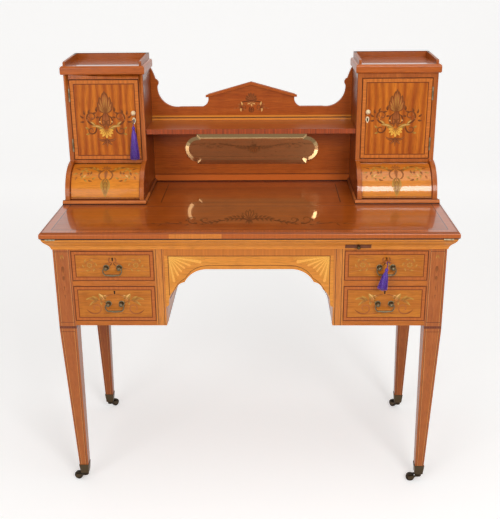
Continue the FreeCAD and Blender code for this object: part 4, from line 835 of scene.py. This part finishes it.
def drawn(routes, radius, roundness, steps):
    """Draws wires along smooth routes, each a row of places in metres and shares of the radius."""
    bpy.ops.curve.primitive_bezier_curve_add()
    piece = bpy.context.object
    line = piece.data
    line.splines.clear()
    line.dimensions = "3D"
    for route in routes:
        path = line.splines.new("NURBS")
        path.points.add(len(route) - 1)
        for knot, (place, thick) in zip(path.points, route):
            knot.co = (*place, 1)
            knot.radius = thick
        path.order_u = 3
        path.use_endpoint_u = True
        path.resolution_u = steps
    line.bevel_depth = radius
    line.bevel_resolution = roundness
    line.use_fill_caps = True
    choose(piece)
    bpy.ops.object.convert(target="MESH")
    bpy.ops.object.shade_smooth()
    piece = bpy.context.object
    piece.data.transform(piece.matrix_world)
    piece.matrix_world = Matrix.Identity(4)
    return piece


POST = ((0, 0), (8, 0), (8, 0.6), (7.2, 1.3), (6.0, 1.5), (5.4, 1.1), (4.6, 1.2), (3.6, 2.0), (3.0, 3.2),
        (2.6, 5.0), (2.8, 6.8), (3.8, 8.0), (5.0, 9.4), (5.5, 11.4), (5.0, 13.4), (3.8, 14.8), (2.0, 15.8),
        (0, 16.2))
BAIL = ((12.6, 0, 1.0), (17, 0, 1.0), (23.2, -0.2, 0.95), (24.6, -5, 0.95), (23.6, -10, 1.0),
        (19, -17.4, 1.12), (10, -17.0, 1.25), (5, -18.0, 1.5))
half_spread, standing_off, bail_radius = 0.017, 0.012, 0.0017
for side, hand in SIDES:
    for level, height in (("upper", 0.663), ("lower", 0.562)):
        name = level + "_" + hand
        middle = side * PEDESTAL
        posts = joined("handle_posts_pair_" + name,
                       [turned("post", POST, (middle + way * half_spread, FRONT, height), (90, 0, 0), patina)
                        for way in (-1, 1)])
        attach(posts, "drawer_" + name)
        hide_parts("handle_posts_" + name)
        bends = [*BAIL, *[(-x, z, thick) for x, z, thick in reversed(BAIL)]]
        bail = drawn([[((middle + x / 1000, FRONT - standing_off, height + z / 1000), thick)
                       for x, z, thick in bends]], bail_radius, 4, 6)
        bail.name = "swan_neck_bail_" + name
        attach(bail, "bail_" + name)
        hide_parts("bail_" + name)
        dress(bail, patina)
for name in ("fixed_hinge_leaves", "flap_hinge_leaves", "loper_knob"):
    dress(nodes[name], patina)


# The two cabinets: carcases with quadrant cheeks in front, a moulded foot, an overhanging board
# with a rounded edge on top and a low gallery on it; all of it veneered and glossy, with a pair
# of string lines on the sides.
cabinet_wood = timber("cabinet_veneer", (202, 112, 42), (156, 74, 22), along="Z", ribbon=0.35, period=0.06,
                      polish=0.06, seed=21.0, shine=0.3)
across, deep, height = places(cabinet_wood, fold="X")
# Painted shade: the cabinets' inner sides, facing the kneehole, are darkened.
painted_shade(cabinet_wood, below(across, 0.2985), (0.5, 0.36, 0.24))
frame_lines(cabinet_wood, deep, height, (0.1885, 0.944), (0.0735, 0.160),
            ((0.006, 0.0012, DARK, 0), (0.0073, 0.001, (222, 150, 80), 0)))
cap_wood = timber("cap_satinwood", (202, 104, 26), (160, 74, 16), along="X", polish=0.02, seed=23.0,
                  shine=1.0)
cap_top, gallery_top = 1.1343, 1.1508
on_top = above(places(cap_wood)[2], cap_top)
feed(ground_of(cap_wood)[0], "Coat Weight", ramp(on_top, 0.0, 1.0, 0.1, 1.0))
gallery_wood = timber("gallery_satinwood", (186, 98, 38), (140, 66, 20), along="X", polish=0.06, seed=25.0)
let_in(gallery_wood, above(places(gallery_wood)[2], gallery_top), (84, 40, 16))
plinth_wood = timber("plinth_satinwood", (208, 120, 54), (172, 88, 36), along="X", polish=0.08, seed=27.0)
across, deep, height = places(plinth_wood, fold="X")
let_in(plinth_wood, above(height, 0.7762), (122, 58, 22))
# Painted shadow: a near-black band along the foot's bottom edge, as under a small cavetto.
let_in(plinth_wood, below(height, 0.7684), (62, 28, 12))
# Painted shade: the plinths' inner ends at the back are darkened.
painted_shade(plinth_wood, overlap(below(across, 0.2972), above(deep, 0.0985)), (0.45, 0.36, 0.3))
for name, finish in (("cabinet_left", cabinet_wood), ("cabinet_right", cabinet_wood),
                     ("cabinet_caps", cap_wood)):
    dress(eased(name, 0.0007), finish)
dress(nodes["cabinet_galleries"], gallery_wood)
dress(eased("cabinet_plinths", 0.0007), plinth_wood)


# The cylinder fronts: coopered quadrants that turn up into the cabinet, veneered across with
# golden satinwood inside a dark string line, a scroll on each side of a small palmette.
cylinder_wood = timber("cylinder_veneer", (240, 154, 48), (206, 116, 30), along="X", polish=0.05, seed=29.0)
CABINET = 0.408  # the middle of each cabinet, to each side
DOOR_FACE = 0.107  # the doors' faces, and the pivots of the fronts below them
SILL = 0.774
QUADRANT = 0.085  # the fronts' radius
across, deep, height = places(cylinder_wood, fold="X")
feed(ground_of(cylinder_wood)[0], "Coat Weight", ramp(places(cylinder_wood)[0], 0.0, 0.1, 0.2, 0.9))
rise = reckon("ARCTAN2", reckon("SUBTRACT", height, SILL), reckon("SUBTRACT", DOOR_FACE, deep))
arc = reckon("MULTIPLY", rise, QUADRANT)
blend, half_arc = 0.012, 0.0668
# Painted shade: the veneer darkens in steps up the curve, so that the lower part looks lit.
for start, tint in ((0.050, (0.92, 0.88, 0.84)), (0.066, (0.92, 0.88, 0.84)), (0.084, (0.92, 0.86, 0.8))):
    painted_shade(cylinder_wood, ramp(arc, start - blend, start + blend, 0.0, 1.0), tint)
frame_lines(cylinder_wood, across, arc, (CABINET, half_arc), (0.104, half_arc),
            ((0.003, 0.0012, DARK, 0), (0.0050, 0.0030, (206, 124, 52), 0.2),
             (0.0072, 0.0014, (116, 54, 18), 0)))


def on_cylinder(side):
    """Lays veneers round a cylinder front, v running up its curve from the sill."""
    def lay(u, v, lift):
        rise = v / 1000 / QUADRANT
        reach = QUADRANT + lift / 1000
        return (side * CABINET + u / 1000, DOOR_FACE - reach * math.cos(rise), SILL + reach * math.sin(rise))
    return lay


curved = []
for layer in ((1.0, 5.4, "dark", "bud"), (0.8, 2.2, "rose", "bud")):
    spray(curved, 94, 90, ((72, 15), (38, 17), (0, 19)), lambda lean: min(14, lean), layer)
scrolls(curved, 26, 100, 22, 70, 4.6, "dark", turn=-40, coil=-12, tail=0.4)
stroke(curved, 0, 92, -90, 34, 11, "rose")
scrolls(curved, 3, 92, -16, 46, 4.6, "dark", turn=-84, coil=-56, tail=0.8)
stroke(curved, 0, 86, -90, 28, 3.4, "dark")
pair(curved, 12, 88, -10, 17, 7, "dark", turn=50)
for top, aim, size in ((62, -48, 34), (52, -56, 32), (40, -64, 26), (28, -72, 20)):
    pair(curved, 1.5, top, aim, size, 6.4, "green", turn=-44)
    pair(curved, 1.5, top, aim - 3, size * 0.8, 1.5, "dark", turn=-42)
stroke(curved, 0, 60, -90, 54, 5, "green")
scrolls(curved, 18, 80, 60, 132, 3.4, "green", turn=-120, coil=-330, tail=0.4, steps=36)
for wood, roots in (("green", ((24, 90, 100), (32, 96, 76))), ("dark", ((42, 99, 50),)),
                    ("green", ((53, 98, 20), (62, 92, -10))), ("dark", ((67, 82, -40),)),
                    ("green", ((67, 71, -70), (60, 61, -110))), ("dark", ((49, 57, -140),)),
                    ("green", ((38, 60, 170), (50, 84, 60))), ("dark", ((44, 76, 130),)),
                    ("pale", ((54, 74, -20),)), ("dark", ((74, 92, 50),)),
                    ("green", ((80, 80, 0),)), ("rose", ((80, 68, -40),))):
    leaves(curved, roots, 13, 5.0, wood, -50)
disc(curved, 50, 79, 7, "dark", both=True)
for side, hand in SIDES:
    dress(eased("cylinder_front_" + hand, 0.0004), cylinder_wood)
    marquetry("cylinder_scrolls_" + hand, curved, on_cylinder(side), "cylinder_front_" + hand, fade=0.22,
              ground=(214, 134, 52))


# The cupboard doors: ribbon-striped veneer inside a string line and a crossband, with a large
# vase of honeysuckle and scrolls in sand-shaded woods, a bone lock plate, a small turned ivory
# knob and two brass butt hinges each.
door_wood = timber("door_ribbon_veneer", (214, 120, 28), (158, 70, 10), along="Z", ribbon=0.85, period=0.021,
                   polish=0.08, seed=31.0, contrast=0.9)
across, _, height = places(door_wood, fold="X")
frame_lines(door_wood, across, height, (CABINET, 0.9835), (0.0968, 0.1128),
            ((0.0055, 0.0105, (200, 112, 42), 0.24), (0.0120, 0.0024, (112, 50, 16), 0),
             (0.0006, 0.0018, (100, 44, 16), 0)))
vase = []
for layer in ((1.0, 11, "dark", "bud"), (0.9, 5.6, "rose", "bud"), (0.8, 1.4, "green", "bud")):
    spray(vase, 1003, 90, ((66, 26), (51, 38), (35, 49), (17, 58), (0, 63)),
          lambda lean: min(34, 1.4 * lean), layer, steps=16)
for long, wide, wood in ((1.0, 7.6, "dark"), (0.86, 3.0, "rose")):
    for aim, size, turn in ((-56, 48, -56), (-72, 46, -22), (-86, 44, -4)):
        pair(vase, 1.2, 1006, aim, size * long, wide, wood, turn=turn)
scrolls(vase, 9, 997, -38, 62, 4.6, "dark", turn=-50, coil=-310, tail=0.6, steps=26)
disc(vase, 17, 979, 4.6, "pale", both=True)
pair(vase, 24, 1007, 62, 17, 7.0, "dark", turn=76)
scrolls(vase, 33, 969, 14, 88, 5.4, "dark", turn=90, coil=300, steps=36)
leaves(vase, ((61, 980, -30), (62, 990, 10), (58, 999, 50), (48, 1003, 90), (36, 1000, 130), (28, 990, 150)),
       13, 5.6, "dark", 50)


def flower(cut, u, v, petals, long, wide, turn):
    """Cuts a pair of small flowers, with petals that start 3 mm from their middles."""
    for aim, wood in petals:
        pair(cut, u + 3 * math.cos(math.radians(aim)), v + 3 * math.sin(math.radians(aim)), aim, long, wide,
             wood, turn=turn)


flower(vase, 45, 987, ((-30, "rose"), (60, "rose"), (150, "rose"), (240, "rose")), 10, 5.0, 50)
for wide, wood in ((8.0, "green"), (2.4, "pale")):
    pair(vase, 6, 957, 42, 38, wide, wood, turn=-50)
    pair(vase, 30, 966, 60, 20, wide * 0.8, wood, turn=-30)
scrolls(vase, 28, 964, -96, 60, 5.0, "dark", turn=90, coil=270, tail=0.6, steps=28)
disc(vase, 38, 954, 6, "rose", both=True)
leaves(vase, ((24, 958, 150), (50, 958, 20), (48, 946, -30)), 12, 5.2, "green", 30)
spray(vase, 957, -90, ((-78, 20), (-52, 22), (-26, 24), (0, 26)), lambda lean: min(10, -lean),
      (1.0, 7.0, "gold", "bud"), (0.8, 1.4, "rose", "leaf"))
for wide, wood in ((7.0, "dark"), (2.6, "rose")):
    stroke(vase, 0, 933, -90, 27, wide, wood)
    pair(vase, 2, 929, -40, 28, wide, wood, turn=96)
    pair(vase, 2, 926, -66, 20, wide * 0.8, wood, turn=40)
lock_plate = []
stroke(lock_plate, 0, 991, -90, 19, 10, "bone", steps=16)
keyhole(lock_plate, 0, 982)
LOCK = 0.3282  # the doors' locks and knobs, to each side


def fibrous(point, scale, detail, rough):
    """Fine streaks, drawn out along the axis whose scale is the least."""
    return noise(wire("Mapping", point, None, None, scale), 1.0, detail, rough)


ivory, shader, point = new_finish("turned_ivory")
lines = fibrous(point, (700, 90, 700), 3.0, 0.5)
feed(shader, "Base Color", mix(lines, paint(214, 178, 124), paint(250, 232, 196)))
feed(shader, "Roughness", ramp(lines, 0.3, 0.7, 0.22, 0.34))
feed(shader, "Subsurface Weight", 0.15)
feed(shader, "Subsurface Radius", (0.002, 0.0012, 0.0006))
KNOB = ((0, 0), (4.2, 0), (4.2, 0.8), (3.0, 1.4), (2.6, 2.4), (4.4, 3.6), (6.2, 5.4), (6.8, 7.8), (6.5, 10.2),
        (5.4, 12.4), (3.6, 14.2), (3.0, 14.4), (2.0, 15.4), (0, 15.8))
for side, hand in SIDES:
    door = "door_" + hand
    dress(eased(door, 0.0007), door_wood)
    marquetry("honeysuckle_" + hand, vase, on_face(DOOR_FACE, side * CABINET), door, fade=0.1,
              ground=(192, 104, 34))
    marquetry("lock_plate_" + hand, lock_plate, on_face(DOOR_FACE, side * LOCK), door)
    hinges = eased("door_fittings_" + hand, 0.00015)
    edit("VERT", "DESELECT")
    done()
    for corner in hinges.data.vertices:
        corner.select = abs(corner.co.x) < 0.4  # the plain knob, which the turned one stands for
    edit("VERT")
    bpy.ops.mesh.delete(type="VERT")
    done()
    dress(hinges, patina)
    knob = turned("door_knob_" + hand, KNOB, (side * LOCK, DOOR_FACE, 1.0045), (90, 0, 0), ivory, steps=36)
    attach(knob, door)


# The back: a shaped board between the cabinets with a small pediment, its moulding, a shelf with
# a beaded upstand and a bevelled mirror sunk below the shelf; glossy and redder than the fronts.
back_wood = timber("back_satinwood", (198, 102, 32), (150, 62, 14), along="X", polish=0.07, seed=33.0)
height = places(back_wood)[2]
# Among these, the bright line at 0.966 is a painted highlight just above the shelf's bead, and the near-black
# one at 0.7665 a painted shadow where the board meets the top.
for level, half, tone in ((0.966, 0.0025, (222, 138, 52)), (0.789, 0.0008, DARK),
                          (0.7775, 0.008, (206, 104, 38)), (0.7665, 0.0018, (60, 24, 8))):
    let_in(back_wood, near(height, level, half), tone)
shelf_wood = timber("shelf_satinwood", (190, 98, 34), (136, 58, 16), along="X", polish=0.06, seed=35.0,
                    shine=0.5)
across, deep, height = places(shelf_wood)
let_in(shelf_wood, below(deep, 0.1148), (156, 64, 12), 0.45, across)
for level, half, tone in ((0.9595, 0.0036, (222, 138, 52)), (0.9625, 0.0011, DARK)):
    let_in(shelf_wood, near(height, level, half), tone)
for name, finish in (("back_board", back_wood), ("shelf", shelf_wood)):
    dress(eased(name, 0.0006), finish)
palmette = []
spray(palmette, 1010, 90, ((0, 26), (22, 25), (45, 23), (68, 20), (90, 15)), lambda lean: 6,
      (1.0, 7.4, "dark", "bud"))
for lean in (11, 34, 57):
    pair(palmette, 0, 1012, 90 - lean, 17, 1.6, "rose")
for lean, wood in ((0, "pale"), (-24, "rose"), (-48, "pale"), (-72, "rose")):
    spray(palmette, 1009, -90, ((lean, 15),), lambda lean: 14, (1.0, 5.0, wood, "leaf"))
scrolls(palmette, 6, 1008, 16, 92, 4.0, "dark", turn=-70, coil=-440, steps=30)
flower(palmette, 28, 994, ((150, "rose"), (100, "pale"), (50, "rose"), (0, "rose"), (-60, "pale"),
                           (-120, "rose")), 13, 5.4, -50)
disc(palmette, 29, 992, 6, "dark", both=True)
scrolls(palmette, 2, 994, -40, 34, 3.6, "dark", turn=-80, coil=-200, tail=0.6)
stroke(palmette, 0, 992, -90, 16, 6.0, "dark")
pair(palmette, 42, 990, 10, 12, 4.0, "rose", turn=-50)
BACK_FACE = 0.258
marquetry("pediment_palmette", palmette, on_face(BACK_FACE), "carcase", fade=0.15,
          ground=(176, 84, 26))

glass, shader, point = new_finish("silvered_glass")
foxing = ramp(noise(point, 120.0, 4.0, 0.7), 0.62, 0.72, 0.0, 0.6)
feed(shader, "Base Color", mix(foxing, paint(210, 172, 122), paint(112, 84, 56)))
feed(shader, "Roughness", ramp(noise(point, 22.0, 5.0, 0.6), 0.4, 0.7, 0.015, 0.05))
feed(shader, "Metallic", 1.0)
plate = eased("mirror", 0.00002, evened=False)
for face in plate.data.polygons:
    face.select = face.normal.y < -0.99 and face.area > 0.001
edit()
bevel, bevel_fall = 0.0112, 0.0011
bpy.ops.mesh.inset(thickness=bevel, depth=0.0)
done()
lean, glass_top = 0.026, 0.9115
inner = {corner for face in plate.data.polygons if face.select for corner in face.vertices}
for corner in plate.data.vertices:
    if corner.co.y < BACK_FACE + 0.0025:
        corner.co.y += lean * (glass_top - corner.co.z) + (0 if corner.index in inner else bevel_fall)
bpy.ops.object.shade_smooth_by_angle(angle=math.radians(4))
plate.name = "bevelled_mirror"
dress(plate, glass)


# The keys and their tassels: a brass key with a ring bow stands in the left door and in the
# upper right drawer, and from each hangs a tassel of purple silk: a twisted cord round the
# shank, a bound head and a skirt of loose threads.
key_brass, shader, point = new_finish("key_brass")
scratch = fibrous(point, (160, 160, 900), 4.0, 0.6)
feed(shader, "Base Color", mix(scratch, paint(150, 112, 58), paint(204, 164, 92)))
feed(shader, "Roughness", ramp(scratch, 0.3, 0.7, 0.24, 0.42))
feed(shader, "Metallic", 1.0)
for name in ("key_door", "key_drawer"):
    dress(nodes[name], key_brass)

silk, shader, point = new_finish("purple_silk")
lustre = fibrous(point, (900, 900, 60), 3.0, 0.6)
feed(shader, "Base Color", mix(ramp(lustre, 0.3, 0.7, 0.0, 1.0), paint(40, 12, 96), paint(112, 60, 188)))
feed(shader, "Roughness", ramp(lustre, 0.3, 0.7, 0.34, 0.5))
feed(shader, "Sheen Weight", 0.5)
feed(shader, "Sheen Roughness", 0.3)
HEAD = ((0, 0), (1.4, -0.2), (2.6, -1.0), (3.9, -2.6), (4.5, -4.6), (4.3, -6.6), (3.5, -8.2), (3.0, -8.8),
        (3.7, -9.2), (3.9, -9.9), (3.4, -10.6), (3.8, -11.0), (3.9, -11.7), (3.3, -12.4), (3.6, -13.5),
        (0, -13.5))


def tassel(name, place, length, spread, slant, seed):
    """Makes one tassel of that length and half width, in millimetres, hanging from a place on its
    key's shank at a slant."""
    random.seed(seed)
    bpy.ops.mesh.primitive_torus_add(major_radius=0.0034, minor_radius=0.0008, major_segments=24,
                                     minor_segments=8, rotation=(math.pi / 2, 0, 0))
    loop = bpy.context.object
    choose(loop)
    bpy.ops.object.transform_apply(location=True, rotation=True, scale=True)
    hem = -13.4 - 0.9 * length
    twists = [(0.95 + 0.2 * (k % 2), -3.6 - 0.8 * k) for k in range(13)]
    cord = turned("cord", [(0, -3.4), *twists, (0, -13.6)], (0, 0, 0), steps=10)
    head = turned("head", HEAD, (0, 0, -0.0132), steps=24)
    core = turned("core", ((0, -25), (3.2, -25), (6.5, -34), (0.8 * spread, hem), (0, hem)), (0, 0, 0),
                  steps=20)
    routes = []
    strands, golden_turn, bound, thread = 150, 2.39996, 3.0, 0.00042
    for strand in range(strands):
        around = golden_turn * strand
        out = math.sqrt((strand + 0.5) / strands) * random.uniform(0.93, 1.0)
        sway = random.uniform(-0.9, 0.9)
        route = []
        for t in (0, 0.12, 0.35, 0.6, 0.82, 1):
            reach = (bound + (spread - bound) * t ** 0.62) * out
            wobble = sway * math.sin(3.2 * t + strand)
            drop = 24.4 + (length - 12 + random.uniform(-1.5, 1.0) * (t == 1)) * t
            route.append((((reach * math.cos(around) + wobble) / 1000,
                           (reach * math.sin(around) + wobble) / 1000, -drop / 1000), 1))
        routes.append(route)
    threads = drawn(routes, thread, 0, 2)
    piece = joined("silk_" + name, [threads, loop, cord, head, core])
    piece.data.transform(Matrix.Translation(place) @ Matrix.Rotation(math.radians(slant), 4, "Y"))
    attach(piece, name)
    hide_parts(name)
    dress(piece, silk)


tassel("tassel_door", (-LOCK, 0.089, 0.982), 94, 14.2, 0, 4)
tassel("tassel_drawer", (PEDESTAL, -0.256, 0.686), 58, 13.6, 10, 9)


# The casters: a square cast cup screwed to each toe, a swivelling fork and a wheel, all of dark
# bronze, polished by wear only along the edges and the wheels' treads.
bronze, shader, point = new_finish("dark_bronze")
pits = noise(point, 700.0, 3.0, 0.6)
colour = mix(noise(point, 90.0, 5.0, 0.65), paint(38, 32, 26), paint(66, 54, 40))
feed(shader, "Base Color", mix(high_spots(bronze, 0.52, 0.62, 0.6), colour, paint(126, 104, 74)))
feed(shader, "Roughness", ramp(pits, 0.3, 0.7, 0.3, 0.52))
feed(shader, "Normal", wire("Bump", 0.2, 0.0003, None, pits))
feed(shader, "Metallic", 0.85)
for name in ["caster_cups"] + [kind + corner for kind in ("caster_fork_", "caster_wheel_")
                               for corner in CORNERS]:
    dress(eased(name, 0.0005), bronze)

size = [[list(map(float, corner)) for corner in pair_of] for pair_of in (cad_box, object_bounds())]
